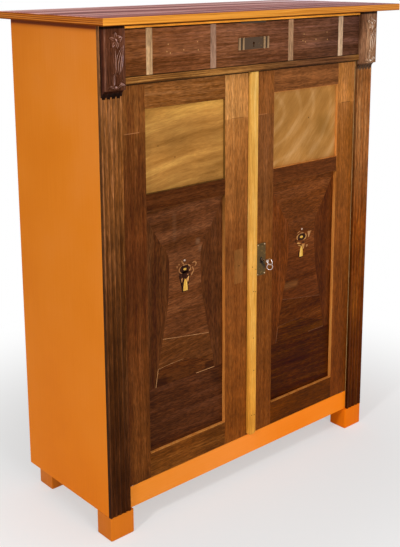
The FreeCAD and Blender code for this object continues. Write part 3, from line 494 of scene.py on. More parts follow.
@dataclass(frozen=True)
class BoardEdge(Wood):
    """The multiplex top: a streaky mahogany face over edges that show grain and glue lines.

    Attributes:
        face: height above which the face veneer shows.
        base: height of the board's underside.
        ply: distance from one glue line to the next.
        glue: colour of the glue lines, and of the painted shade along the lower edge.
        end_tones: dark, middle and light of the board's two ends.
        face_tones: dark, middle and light of the face veneer; the light streaks are pale with painted sheen.
        face_tints: painted reflection on the face along x, paler and greyer towards the right end.
    """

    face: float = 1.2943
    base: float = 1.277
    ply: float = 4.5 * MM
    glue: str = "6a2c08"
    end_tones: Tones = ("a2540f", "bc6c28", "ca7c38")
    face_tones: Tones = ("8a443e", "d0827a", "ffc8c0")
    face_tints: Shade = ((-0.51, 1.05), (0.1, 1.1), (0.3, (1.15, 1.3, 1.35)), (0.51, (1.4, 1.9, 2.2)))

    def edge(self, graph: Graph, point: Socket, z: Socket) -> Socket:
        """Colours the edges: long grain and thin dark lines along the front, glue lines at the ends.

        Args:
            graph: the material's nodes.
            point: the swerved point.
            z: height of the point.

        Returns:
            The edge colour.
        """
        glue = tone(self.glue)
        grain = graph.noise(graph.place(point, (0.35, 0.01, 1.8 * MM)), 4.0, 0.6)
        front = graph.three_tones(grain, 0.14, self.tones)
        lines = graph.noise(graph.place(point, (0.6, 0.05, 1.1 * MM), (0.3, 0.0, 0.7)), 2.0)
        front = graph.mix(graph.span(lines, 0.58, 0.68, 0.0, 0.55), front, glue)
        grain = graph.noise(graph.place(point, (0.01, 0.25, 1.6 * MM)))
        end = graph.three_tones(grain, 0.12, self.end_tones)
        layer = graph.math("DIVIDE", graph.math("SUBTRACT", z, self.base), self.ply)
        end = graph.mix(graph.span(graph.math("PINGPONG", layer, 0.5), 0.3, 0.4), end, glue)
        across = graph.math("ABSOLUTE", graph.parts(graph.normal())[0])
        edge = graph.mix(graph.span(across, 0.5, 0.8), front, end)
        for axis, stops in self.shades:
            edge = graph.shade(edge, graph.parts(point)[axis.value], stops)
        # The lowest 2 mm take the glue colour as painted shade along the board's lower edge.
        return graph.mix(graph.span(z, self.base + 0.9 * MM, self.base + 2.1 * MM, 0.9, 0.0), edge, glue)

    def nodes(self, graph: Graph) -> None:
        """Edge colours below the face height and broad mahogany streaks along x above it.

        Args:
            graph: the material's nodes.
        """
        point = graph.point()
        x, _, z = graph.parts(point)
        bent = graph.wander(point, 0.2, 0.012)
        fine = graph.noise(graph.place(bent, (0.3, 0.007, 0.007)), 4.0, 0.6)
        broad = graph.noise(graph.place(bent, (1.1, 0.04, 0.04)), 3.0, 0.6)
        fibre = graph.noise(graph.place(bent, (0.06, 1.2 * MM, 0.9 * MM)), 2.0)
        both = graph.blend(broad, 0.65, fine, 0.35)
        top = graph.shade(graph.three_tones(both, 0.08, self.face_tones), x, self.face_tints)
        is_top = graph.span(z, self.face - 0.2 * MM, self.face + 0.2 * MM)
        graph.shader(
            {
                "Base Color": graph.mix(is_top, self.edge(graph, bent, z), top),
                "Roughness": graph.span(both, *NOISE, 0.36, 0.5),
                "Normal": graph.bump(fibre, 0.25, 0.2 * MM),
                "Specular IOR Level": self.shine,
            }
        )


@dataclass(frozen=True)
class Paint(Finish):
    """Satin paint rolled over wood, with a fine skin, faint grain and rubbed edges.

    Attributes:
        colour: main colour.
        pale: colour of thin and faded places.
        deep: colour of thick places.
        grain: axis of the wood below.
        gloss: roughness of the skin.
        start: keeps neighbouring boards different.
        shades: axes, each with places along it and the tint that the paint has there.
    """

    colour: str
    pale: str
    deep: str
    grain: Axis = Axis.Z
    gloss: float = 0.4
    start: float = 0.0
    shades: Shades = ()

    def nodes(self, graph: Graph) -> None:
        """Clouds of pale and deep paint, drawn-out brush grain, a rolled skin and paler edges.

        Args:
            graph: the material's nodes.
        """
        point = graph.point()
        centre = (self.start, self.start * 0.7, self.start * 1.3)
        along = [4.0 * MM, 4.0 * MM, 4.0 * MM]
        along[self.grain.value] = 0.16
        brush = graph.noise(graph.place(point, along, centre), 3.0)
        clouds = graph.noise(graph.cube(point, 0.3, centre))
        both = graph.blend(clouds, 0.75, brush, 0.25)
        stops = [(0.3, tone(self.deep)), (0.5, tone(self.colour)), (0.72, tone(self.pale))]
        colour = graph.ramp(both, stops)
        rubbed = graph.span(graph.edges(2.0 * MM), 0.03, 0.25, 0.0, 0.5)
        colour = graph.mix(rubbed, colour, tone(self.pale))
        for axis, stops in self.shades:
            colour = graph.shade(colour, graph.parts(point)[axis.value], stops)
        skin = graph.noise(graph.cube(point, 1.6 * MM), 2.0)
        height = graph.blend(brush, 0.5, skin, 0.5)
        graph.shader(
            {
                "Base Color": colour,
                "Roughness": graph.span(skin, *NOISE, self.gloss - 0.05, self.gloss + 0.08),
                "Normal": graph.bump(height, 0.25, 0.3 * MM),
                "Specular IOR Level": 0.04,
            }
        )


@dataclass(frozen=True)
class Metal(Finish):
    """Worn metal under an uneven brown or grey skin.

    Attributes:
        bright: rubbed metal.
        skin: the aged skin.
        aged: share of the surface under the skin, 0 to 1.
        grain: size of the skin's spots.
        polish: roughness where rubbed.
        bands: distances from the middle, along x, with the tint that the metal has there.
        patches: dark places.
    """

    bright: str
    skin: str
    aged: float = 0.6
    grain: float = 5.0 * MM
    polish: float = 0.28
    bands: Shade = ()
    patches: tuple[Patch, ...] = ()

    def nodes(self, graph: Graph) -> None:
        """Mixes bright metal and skin by spots of noise; edges are rubbed bright.

        Args:
            graph: the material's nodes.
        """
        point = graph.point()
        places = graph.parts(point)
        spots = graph.noise(graph.cube(point, self.grain), 5.0, 0.65)
        fine = graph.noise(graph.cube(point, 0.7 * MM))
        cover = graph.span(spots, 0.62 - 0.35 * self.aged, 0.86 - 0.5 * self.aged)
        rubbed = graph.span(graph.edges(0.9 * MM), 0.02, 0.2, 1.0, 0.25)
        cover = graph.math("MULTIPLY", cover, rubbed)
        colour = graph.mix(cover, tone(self.bright), tone(self.skin))
        if self.bands:
            colour = graph.shade(colour, graph.math("ABSOLUTE", places[0]), self.bands)
        for patch in self.patches:
            colour = patch.over(graph, colour, places)
        graph.shader(
            {
                "Base Color": colour,
                "Metallic": graph.span(cover, 0.0, 1.0, 1.0, 0.55),
                "Roughness": graph.span(cover, 0.0, 1.0, self.polish, 0.6),
                "Normal": graph.bump(graph.math("MULTIPLY_ADD", spots, 0.5, fine), 0.3, 0.2 * MM),
            }
        )


# The sides' paint tints by height: pinker upwards, a painted soft reflection, and dark just under the top
# board's overhang, a painted shadow.
ORANGE = Paint(
    "orange_paint", "d87714", "dc7e24", "d2700c",
    shades=((
        Axis.Z,
        (
            (0.1, (1.2, 1.14, 0.65)), (0.6, (1.09, 1.12, 1.25)), (1.1, (1.04, 1.1, 1.7)),
            (1.257, (1.0, 1.06, 1.8)), (1.264, (0.75, 0.7, 1.0)), (1.2675, (0.36, 0.24, 0.5)),
        ),
    ),),
)
ORANGE_RAIL = Paint(
    "orange_paint_rail", "f18519", "f48e28", "ec7c0a", Axis.X, start=1.3,
    shades=((Axis.X, ((-0.42, (0.9, 1.02, 2.1)), (0.0, (1.1, 1.14, 2.4)), (0.42, (1.16, 1.02, 0.55)))),),
)
ORANGE_FEET = Paint(
    "orange_paint_feet", "db6e0c", "e27a1a", "d26806", gloss=0.36, start=2.1,
    shades=((Axis.X, ((-0.44, (0.95, 1.14, 3.2)), (0.44, (1.22, 1.1, 0.3)))),),
)
TOP_BOARD = BoardEdge(
    "top_board", ("c27824", "df9033", "eca040"), shine=0.002,
    shades=((Axis.X, ((-0.51, 1.08), (0.0, 0.97), (0.51, (0.87, 0.8, 1.1)))),),
)
# Dark bands at the rail's lower and upper edge are painted shadow: of the gap over the drawer, and under the
# top board's overhang.
TOP_RAIL = Wood(
    "orange_stained_rail", ("c67622", "ee9632", "faa83e"), Axis.X, streak=2.5 * MM, stretch=60.0, pores=0.12,
    fleck=0.1,
    shades=((Axis.Z, ((1.2650, 0.2), (1.2657, 1.3), (1.2693, 1.3), (1.2704, 0.12))),),
)
WALNUT = Wood("walnut", ("5a2e10", "7c4723", "945a36"), Axis.X, streak=6.0 * MM, mottle=0.2)
# The dark band along the divider's lower edge is painted shadow of the gap over the doors.
OAK = Wood(
    "oak_divider", ("5c3414", "8f5c28", "b27c40"), Axis.X, streak=1.7 * MM, stretch=120.0, contrast=1.4,
    pores=0.3, fleck=0.1, sway=3.0 * MM, blend=(0.25, 0.65, 0.1),
    shades=(
        (
            Axis.X,
            ((-0.42, 1.18), (-0.1, 0.94), (0.2, (0.47, 0.42, 0.66)), (0.34, (0.5, 0.46, 0.72)), (0.42, 0.66)),
        ),
        (Axis.Z, ((1.1382, 0.15), (1.1396, 1.0))),
    ),
)
DEAL = Wood(
    "inner_deal", ("a9773f", "c8995c", "dcb880"), streak=9.0 * MM, pores=0.05, fleck=0.08, gloss=0.6, wear=0.1
)
DEAL_ACROSS = replace(DEAL, name="inner_deal_across", grain=Axis.X, start=0.4)
DEAL_DEEP = replace(DEAL, name="inner_deal_deep", grain=Axis.Y, start=0.9)
PINE = Wood("pine", ("c08436", "dc9c42", "e6b05c"), streak=6.0 * MM, pores=0.08, mottle=0.08, fleck=0.06)
KNOTS = (
    (0.004, 0.612), (0.017, 0.603), (0.009, 0.542), (0.016, 0.540),
    (0.010, 0.408), (0.012, 0.313), (0.005, 0.181), (0.015, 0.180),
)
PINE_STRIP = replace(
    PINE, name="astragal_pine_wood", streak=5.0 * MM, start=0.3,
    shades=((Axis.Z, ((0.15, (1.08, 0.94, 0.62)), (1.1, (1.01, 1.11, 1.3)))),),
    patches=tuple(dot(x, z, 0.8 * MM) for x, z in KNOTS),
)
LIPPING = replace(PINE, name="pine_lipping", tones=("b4682a", "d4843a", "e29e54"), wear=0.0)
# A darker copy of the lipping: painted shade for the reveal of the left upper panel.
LIPPING_SHADED = replace(PINE, name="shaded_lipping", tones=("4e3212", "66461c", "7a5626"), wear=0.0)
FILLER = replace(PINE, name="filler", tones=("b07c4a", "c8945a", "dcae74"), wear=0.0)
STRIP_MAPLE = Wood(
    "strip_maple", ("a88868", "c9a482", "d6b492"), streak=4.0 * MM, pores=0.15, wear=0.0,
    columns=((-0.45, "fff6e0"), (-0.24, "c8bcc0"), (0.0, "d8cabc"), (0.24, "ffffff")),
)
BRASS = Metal("aged_brass", "b98f50", "5a4426", 0.75)
DOOR_PLATE = Metal("aged_brass_plate", "806430", "583e12", 0.85, 9.0 * MM, 0.4)
PIN_BRASS = replace(BRASS, name="pin_brass", bright="e8c49c", skin="c09a74", aged=0.4)
# Tints across the reeded plate: reeds lighter as rubbed brass with painted highlights, grooves between them
# darker as painted shade.
PLATE_TINT, REED_TINT = (0.74, 0.67, 0.56), (2.8, 2.9, 2.6)
DRAWER_PLATE = Metal(
    "aged_brass_reeds", "8a7250", "5a4430", 0.92, 9.0 * MM, 0.36,
    bands=(
        (0.0, PLATE_TINT), (0.0332, PLATE_TINT), (0.0342, REED_TINT), (0.0405, REED_TINT), (0.0413, 0.5),
        (0.0462, 0.5), (0.0472, REED_TINT),
    ),
)
LOCK_STEEL = Metal("dull_lock_steel", "6e5a44", "4c3c2e", 0.95, 4.0 * MM, 0.45)
STEEL = Metal("steel", "b8b0a8", "6a5c50", 0.45, 3.0 * MM, 0.25)
KEY_STEEL = Metal("key_steel", "dccfc8", "8a7668", 0.3, 2.5 * MM, 0.2)


@dataclass
class Surface:
    """A mesh as arrays: points (n, 3) and faces of three or four corner numbers."""

    points: Array
    faces: list[Array]

    def outward(self) -> "Surface":
        """Turns all faces round where the closed shell's volume, a sum of corner products, is below 0.

        Returns:
            The surface with its faces outwards.
        """
        volume = 0.0
        for faces in self.faces:
            first, second, third = (self.points[faces[:, i]] for i in (0, 1, 2))
            volume += float(np.sum(first * np.cross(second, third)))
            if faces.shape[1] == 4:
                fourth = self.points[faces[:, 3]]
                volume += float(np.sum(first * np.cross(third, fourth)))
        if volume >= 0.0:
            return self
        return Surface(self.points, [faces[:, ::-1] for faces in self.faces])


def joined(parts: Sequence[Surface]) -> Surface:
    """Several surfaces as one: each part's corner numbers move on by the points before it.

    Args:
        parts: the surfaces.

    Returns:
        All of them in one.
    """
    starts = np.cumsum([0] + [len(part.points) for part in parts])
    faces = [block + start for part, start in zip(parts, starts) for block in part.faces]
    return Surface(np.concatenate([part.points for part in parts]), faces)


def grid_faces(rows: int, columns: int, wrap_rows: bool = False, wrap_columns: bool = False) -> Array:
    """Numbers the four corners of each cell of a grid of points.

    Args:
        rows: points down the grid.
        columns: points across it.
        wrap_rows: joins the last row to the first.
        wrap_columns: joins the last column to the first.

    Returns:
        An (n, 4) array of corner numbers.
    """
    down = np.arange(rows if wrap_rows else rows - 1)[:, None]
    across = np.arange(columns if wrap_columns else columns - 1)[None, :]
    below, beside = (down + 1) % rows, (across + 1) % columns
    row, next_row = down * columns, below * columns
    corners = (row + across, row + beside, next_row + beside, next_row + across)
    return np.stack(np.broadcast_arrays(*corners), axis=-1).reshape(-1, 4)


def shell_between(front: Array, back: Array) -> Surface:
    """Closes two grids of the same shape into one body: front cells, back cells and the rims that join them.

    Args:
        front: points (rows, columns, 3).
        back: points of the same shape.

    Returns:
        The closed surface with its faces outwards.
    """
    rows, columns, _ = front.shape
    far = rows * columns
    cells = grid_faces(rows, columns)
    number = np.arange(far).reshape(rows, columns)
    lines = (number[:, 0], number[::-1, -1], number[0, ::-1], number[-1, :])
    rims = [np.stack([line[:-1], line[1:], line[1:] + far, line[:-1] + far], axis=1) for line in lines]
    faces = np.concatenate([cells, cells[:, ::-1] + far, *rims])
    return Surface(np.concatenate([front.reshape(-1, 3), back.reshape(-1, 3)]), [faces]).outward()


def loft(rings: Array) -> Surface:
    """Joins closed rings one after another and fills the two ends with fans from their centres.

    Args:
        rings: points (rings, points round, 3).

    Returns:
        The closed surface with its faces outwards.
    """
    count, around, _ = rings.shape
    first, last = rings[0].mean(axis=0), rings[-1].mean(axis=0)
    points = np.concatenate([rings.reshape(-1, 3), first[None], last[None]])
    step = np.arange(around)
    after = (step + 1) % around
    start = (count - 1) * around
    low = np.stack([after, step, np.full(around, count * around)], axis=1)
    high = np.stack([start + step, start + after, np.full(around, count * around + 1)], axis=1)
    return Surface(points, [grid_faces(count, around, False, True), low, high]).outward()


def make_piece(
    name: str, surface: Surface, finish: Finish, body: str, smooth: float = 40.0
) -> bpy.types.Object:
    """Makes a piece of the object from a surface, dresses it and lets it ride on a body.

    Args:
        name: the piece's name.
        surface: its mesh as arrays.
        finish: its finish.
        body: the CAD body that carries it.
        smooth: edges flatter than this many degrees are shaded smooth.

    Returns:
        The new object, at the origin.
    """
    mesh = bpy.data.meshes.new(name)
    faces = [row for block in surface.faces for row in block.tolist()]
    mesh.from_pydata(surface.points.tolist(), [], faces)
    mesh.polygons.foreach_set("use_smooth", np.ones(len(mesh.polygons), dtype=bool))
    mesh.set_sharp_from_angle(angle=math.radians(smooth))
    mesh.update()
    piece = bpy.data.objects.new(name, mesh)
    bpy.context.scene.collection.objects.link(piece)
    finish.dress(piece)
    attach(piece, body)
    LOG.info("%s: %d faces on %s", name, len(mesh.polygons), body)
    return piece


def dress_nodes(finish: Finish, ease: float, *names: str) -> None:
    """Dresses CAD nodes, and eases their sharp edges with live modifiers.

    Args:
        finish: their finish.
        ease: width of the eased edge; 0 leaves the nodes as they are.
        names: the nodes' names.
    """
    for name in names:
        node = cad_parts[name]
        finish.dress(node)
        LOG.info("%s: dressed in %s", name, finish.name)
        if ease == 0.0:
            continue
        node.modifiers.new("weld", "WELD").merge_threshold = 1.0e-6
        bevel = node.modifiers.new("eased_edges", "BEVEL")
        bevel.width = ease
        bevel.segments = 2
        bevel.limit_method = "ANGLE"
        bevel.angle_limit = math.radians(38.0)
        bevel.harden_normals = False
        node.modifiers.new("even_shading", "WEIGHTED_NORMAL").weight = 80


def corners_of(node: str) -> tuple[Array, Array]:
    """The lowest and highest corner of a CAD node as arrays."""
    low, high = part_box(node)
    return np.array(low), np.array(high)


def sheet(x: Array, z: Array, front: float, depth: float) -> Surface:
    """A thin upright sheet through a grid of places x and z, from y = front to y = front + depth."""
    face = np.stack([x, np.full_like(x, front), z], axis=-1)
    return shell_between(face, face + np.array([0.0, depth, 0.0]))


def flat_sheet(left: Array, right: Array, heights: Array, front: float, depth: float) -> Surface:
    """A sheet between two side lines: x = left + u * (right - left) at each height."""
    x = left[:, None] + np.linspace(0.0, 1.0, 9)[None, :] * (right - left)[:, None]
    return sheet(x, np.broadcast_to(heights[:, None], x.shape), front, depth)


def ribbon(path: Array, half_width: Array | float, front: float, depth: float) -> Surface:
    """A thin strip along a line in the front plane: path +- half width along the line's normal.

    Args:
        path: points (n, 2) in x and z.
        half_width: one half width, or one for each point.
        front: y of the face.
        depth: thickness towards the back.

    Returns:
        The closed strip.
    """
    slope = np.gradient(path, axis=0)
    slope /= np.maximum(np.linalg.norm(slope, axis=1, keepdims=True), 1.0e-9)
    normal = np.stack([-slope[:, 1], slope[:, 0]], axis=1)
    width = np.broadcast_to(np.asarray(half_width, dtype=float), (len(path),))[:, None, None]
    across = np.linspace(-1.0, 1.0, 5)[None, :, None]
    flat = path[:, None, :] + normal[:, None, :] * width * across
    return sheet(flat[..., 0], flat[..., 1], front, depth)


def domes(centres: Array, radius: float, height: float, out: float) -> Surface:
    """Small domes on a plane of constant y: radius cos t across, height sin t outwards, sunk a little.

    Args:
        centres: points (n, 3) on the plane.
        radius: radius at the plane.
        height: height above it.
        out: -1 to stand out to the front, 1 to the back.

    Returns:
        All domes as one surface.
    """
    lift = np.array([-0.35, 0.0, 0.45, 0.8, 1.0])
    wide = np.array([1.0, 1.0, 0.88, 0.55, 0.08])
    angle = np.linspace(0.0, 2.0 * math.pi, 12, endpoint=False)
    ring = np.stack(
        [
            radius * wide[:, None] * np.cos(angle)[None, :],
            out * height * np.broadcast_to(lift[:, None], (5, 12)),
            radius * wide[:, None] * np.sin(angle)[None, :],
        ],
        axis=-1,
    )
    return joined([loft(ring + centre) for centre in centres])


@dataclass(frozen=True)
class Leaf:
    """One carved leaf, petal or stem of a bracket, in mm from the middle of the face's lower edge.

    Attributes:
        root: x and z of its root.
        bend: the point that its spine bends towards.
        tip: x and z of its tip.
        wide: greatest half width.
        high: greatest height over the ground.
        cut: depth of its grooves as a share of the height.
    """

    root: Span
    bend: Span
    tip: Span
    wide: float
    high: float
    cut: float = 0.0

    def height(self, across: Array, up: Array) -> Array:
        """Height of the leaf: a half-round section along a bent spine, cut by grooves along it.

        The spine is root (1-t)^2 + bend 2t(1-t) + tip t^2. Each point takes its nearest t and distance d,
        the half width is wide * sin(pi t^0.7)^0.8, and the height is high * sqrt(1 - (d / half width)^2),
        less the grooves, which are a cosine of d with 3.4 half waves.

        Args:
            across: x of the points.
            up: z of the points.

        Returns:
            The height at each point, 0 outside the leaf.
        """
        part = np.linspace(0.0, 1.0, 60)[:, None]
        root, bend, tip = (np.array(point) * MM for point in (self.root, self.bend, self.tip))
        line = (1.0 - part) ** 2 * root + 2.0 * part * (1.0 - part) * bend + part**2 * tip
        gap = np.stack([across, up], axis=-1)[..., None, :] - line
        far = np.linalg.norm(gap, axis=-1)
        near = far.argmin(axis=-1)
        distance = np.take_along_axis(far, near[..., None], axis=-1)[..., 0]
        place = part[near, 0]
        half = self.wide * MM * np.maximum(np.sin(math.pi * place**0.7), 1.0e-3) ** 0.8
        share = np.clip(distance / half, 0.0, 1.0)
        groove = 1.0 - self.cut * (0.5 + 0.5 * np.cos(share * 3.4 * math.pi))
        return self.high * MM * np.sqrt(1.0 - share**2) * groove * (0.75 + 0.25 * place)


CARVING = (
    Leaf((9.0, 36.0), (7.0, 72.0), (23.0, 101.0), 11.5, 4.8, 0.55),
    Leaf((-4.0, 36.0), (-6.0, 70.0), (-24.0, 97.0), 9.0, 1.6, 0.1),
    Leaf((-1.0, 22.0), (-2.0, 60.0), (1.0, 100.0), 3.2, 2.6),
    Leaf((-8.0, 10.0), (-7.0, 22.0), (-6.0, 40.0), 5.5, 4.6, 0.2),
    Leaf((-3.0, 3.0), (-13.0, 14.0), (-26.0, 6.0), 5.5, 3.6, 0.35),
    Leaf((2.0, 3.0), (13.0, 17.0), (26.0, 9.0), 6.0, 4.0, 0.35),
    Leaf((1.0, 36.0), (12.0, 28.0), (25.0, 14.0), 3.0, 1.4),
    Leaf((-4.0, 4.0), (0.0, 8.0), (5.0, 5.0), 4.5, 4.6),
)


@dataclass
class Bracket:
    """A carved bracket: flower, leaves and stems over a hollow, lobed foot.

    Attributes:
        side: the half of the cabinet.
        foot: height of the hollow foot.
        ground: how far the ground lies behind the CAD bracket's front plane.
        arris: radius of the face's upright edges.
        hang: how far the foot's lobes hang below the points between them.
        flutes: number of flutes that run into the foot.
        margin: plain edge beside the flutes.
        land: ridge between two flutes.
        flute_depth: depth of a flute.
        flower: x and z of the flower's middle over the face's lower edge; the flower's sizes are in mm.
        petal: length, half width and depth of cut of a petal.
        petals: direction in degrees and height of each petal.
        eye: radius and height of the flower's eye.
        wider: how far the face reaches beyond the CAD bracket towards the drawer.
        crest: height over its surroundings at which a crest gets the full painted highlight.
        shown: height over the ground from which a form gets painted highlight and shade.
        light: direction of the painted light, the window's, to the right and up.
        shy: places across, between which the painted highlight and shade grow from faint to full.
        leaf_lift: how much more painted highlight the large leaf gets.
        rows: points down the face.
        columns: points across the face.
    """

    side: Side
    foot: float = 24.0 * MM
    ground: float = 3.0 * MM
    arris: float = 3.0 * MM
    hang: float = 5.0 * MM
    flutes: int = 4
    margin: float = 5.0 * MM
    land: float = 3.0 * MM
    flute_depth: float = 3.0 * MM
    flower: Span = (1.0, 112.0)
    petal: Three = (19.0, 8.5, 0.25)
    petals: tuple[Span, ...] = ((95.0, 3.2), (20.0, 4.8), (160.0, 3.4), (232.0, 4.2), (282.0, 4.9))
    eye: Span = (4.5, 4.8)
    wider: float = 2.0 * MM
    crest: float = 0.8 * MM
    shown: float = 2.0 * MM
    light: Span = (0.85, 0.5)
    shy: Span = (-24.0 * MM, 6.0 * MM)
    leaf_lift: float = 0.14
    rows: int = 190
    columns: int = 100

    def pitch(self, width: float) -> float:
        """Distance from one flute to the next on a pilaster of this width."""
        return (width - 2.0 * self.margin + self.land) / self.flutes

    def flute(self, x: Array) -> Array:
        """Share of a flute's depth: 1 - (2r - 1)^2 across each flute, 0 on the ridges.

        Args:
            x: places across the pilaster.

        Returns:
            The share at each place.
        """
        low, high = corners_of(f"{self.side.word}_pilaster")
        pitch = self.pitch(high[0] - low[0])
        place = (x - low[0] - self.margin) % pitch / (pitch - self.land)
        inside = (place < 1.0) & (x > low[0] + self.margin) & (x < high[0] - self.margin)
        return np.where(inside, 1.0 - (2.0 * place - 1.0) ** 2, 0.0)

    def relief(self, across: Array, up: Array) -> Array:
        """Highest of the carved forms at each point of the face: leaves, five petals and a domed eye.

        Args:
            across: x from the face's middle.
            up: z from the face's lower edge.

        Returns:
            The height over the ground.
        """
        centre = np.array(self.flower)
        forms = [leaf.height(across, up) for leaf in CARVING]
        length, wide, cut = self.petal
        for angle, high in self.petals:
            way = np.array([math.cos(math.radians(angle)), math.sin(math.radians(angle))])
            root, bend, tip = (tuple(centre + way * length * part) for part in (0.1, 0.6, 1.0))
            forms.append(Leaf(root, bend, tip, wide, high, cut).height(across, up))
        gap = ((across / MM - centre[0]) ** 2 + (up / MM - centre[1]) ** 2) / self.eye[0] ** 2
        forms.append(self.eye[1] * MM * np.sqrt(np.clip(1.0 - gap, 0.0, 1.0)))
        return np.maximum.reduce(forms)

    def build(self, finish: Finish) -> None:
        """Carves the face as ground + relief, and runs the foot as a quarter oval into the flutes.

        Args:
            finish: the bracket's wood.
        """
        node = f"{self.side.word}_bracket"
        low, high = corners_of(node)
        inner = high if self.side is Side.LEFT else low
        inner[0] += self.wider if self.side is Side.LEFT else -self.wider
        x = np.linspace(low[0], high[0], self.columns)[None, :]
        edge = low[2] + self.foot
        z = np.linspace(high[2], edge, self.rows)[:, None]
        x_face, z_face = np.broadcast_arrays(x, z)
        across = x_face - 0.5 * (low[0] + high[0])
        relief = self.relief(across, z_face - edge)
        y_face = low[1] + self.ground - relief
        inset = np.clip(1.0 - np.minimum(x_face - low[0], high[0] - x_face) / self.arris, 0.0, 1.0)
        y_face = y_face + self.arris * (1.0 - np.sqrt(1.0 - inset**2))
        turn = np.linspace(0.0, QUARTER, 25)[1:, None]
        flute = self.flute(x)
        end = high[1] + self.flute_depth * flute + 0.2 * MM
        lowest = low[2] + self.hang * (1.0 - flute)
        y_foot = y_face[-1:] + (end - y_face[-1:]) * np.sin(turn)
        z_foot = lowest + (edge - lowest) * np.cos(turn)
        x_foot = np.broadcast_to(x, y_foot.shape)
        face = np.stack([x_face, y_face, z_face], axis=-1)
        foot = np.stack([x_foot, y_foot, z_foot], axis=-1)
        front = np.concatenate([face, foot])
        back = front.copy()
        back[..., 1] = high[1] + 1.5 * self.flute_depth
        piece = make_piece(f"{node}_carved", shell_between(front, back), finish, "case", 50.0)
        self.mark_flanks(piece, relief, x[0], z[:, 0])
        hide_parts(node)

    def mark_flanks(self, piece: bpy.types.Object, relief: Array, x: Array, z: Array) -> None:
        """Stores painted light and shade: 0.5 - 0.5 tanh(2.2 slope to the upper right), plus the crests.

        A crest stands above the mean of the relief around it, and gets a painted highlight in proportion to
        that.

        Args:
            piece: the carved bracket.
            relief: heights of the face's points.
            x: places of its columns.
            z: places of its rows.
        """
        right, up = self.light
        slope = right * np.gradient(relief, x, axis=1) + up * np.gradient(relief, z, axis=0)
        mean = relief
        for axis, step in ((0, 3), (1, 3), (0, 2), (1, 2)):
            mean = (np.roll(mean, step, axis) + mean + np.roll(mean, -step, axis)) / 3.0
        crest = np.clip((relief - mean) / self.crest, 0.0, 1.0) * (relief > self.shown)
        across = x - 0.5 * (x[0] + x[-1])
        # Painted highlight on slopes turned to the upper right and on crests, painted shade on slopes turned
        # away.
        rubbed = np.tanh(2.2 * slope) * (relief > 0.55 * self.shown) * -0.5 + 0.45 * crest
        rubbed = 0.5 + rubbed * np.interp(across, self.shy, (0.35, 1.0))
        leaf = CARVING[0].height(*np.broadcast_arrays(across, (z - z[-1])[:, None]))
        rubbed += self.leaf_lift * (leaf > 0.5 * self.shown)
        painted_light = np.full(len(piece.data.vertices), 0.5, dtype=np.float32)
        painted_light[: relief.size] = np.clip(rubbed, 0.0, 1.0).ravel()
        piece.data.attributes.new("painted_light", "FLOAT", "POINT").data.foreach_set("value", painted_light)


# Signs of a rectangle's corners, in order round it.
CORNERS = np.array([[1.0, 1.0], [-1.0, 1.0], [-1.0, -1.0], [1.0, -1.0]])


def rounded_ring(half: Array, radius: Array, steps: int = 6) -> Array:
    """Rounded rectangles: corner centres at half - radius, with quarter circles of that radius.

    Args:
        half: half sizes (rows, 2).
        radius: corner radius of each row (rows,).
        steps: points on each corner.

    Returns:
        Points (rows, 4 * steps, 2) in order round each rectangle.
    """
    quarter = np.linspace(0.0, QUARTER, steps)
    angle = (quarter[None, :] + QUARTER * np.arange(4)[:, None]).reshape(-1)
    sign = np.repeat(CORNERS, steps, axis=0)
    round_way = np.stack([np.cos(angle), np.sin(angle)], axis=1)
    return sign * (half - radius[:, None])[:, None, :] + radius[:, None, None] * round_way


@dataclass
class Foot:
    """A painted block foot with softened upright edges and a worn, rounded lower edge.

    Attributes:
        node: the CAD node that it stands for.
        side_round: radius of the upright edges.
        low_round: radius of the lower edge.
    """

    node: str
    side_round: float = 3.0 * MM
    low_round: float = 3.5 * MM

    def build(self, finish: Finish) -> None:
        """Stacks rounded rectangles; near the floor they draw in by R (1 - sin t) at height R (1 - cos t).

        Args:
            finish: the foot's paint.
        """
        low, high = corners_of(self.node)
        turn = np.linspace(0.0, QUARTER, 9)
        draw_in = np.append(self.low_round * (1.0 - np.sin(turn)), 0.0)
        height = np.append(low[2] + self.low_round * (1.0 - np.cos(turn)), high[2])
        half = 0.5 * (high - low)[None, :2] - draw_in[:, None]
        flat = rounded_ring(half, self.side_round + 0.5 * draw_in) + 0.5 * (high + low)[:2]
        rings = np.concatenate([flat, np.broadcast_to(height[:, None, None], (*flat.shape[:2], 1))], axis=-1)
        piece = make_piece(f"{self.node}_painted", loft(rings), finish, "case", 50.0)
        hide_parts(self.node)


@dataclass
class Pilaster:
    """A fluted pilaster of the CAD frame with its carved bracket.

    Attributes:
        side: the half of the cabinet.
        wood: the pilaster's wood.
        carving: the bracket's wood.
    """

    side: Side
    wood: Wood
    carving: Wood

    def build(self) -> None:
        """Dresses the pilaster and carves the bracket."""
        dress_nodes(self.wood, EASE, f"{self.side.word}_pilaster")
        Bracket(self.side).build(self.carving)


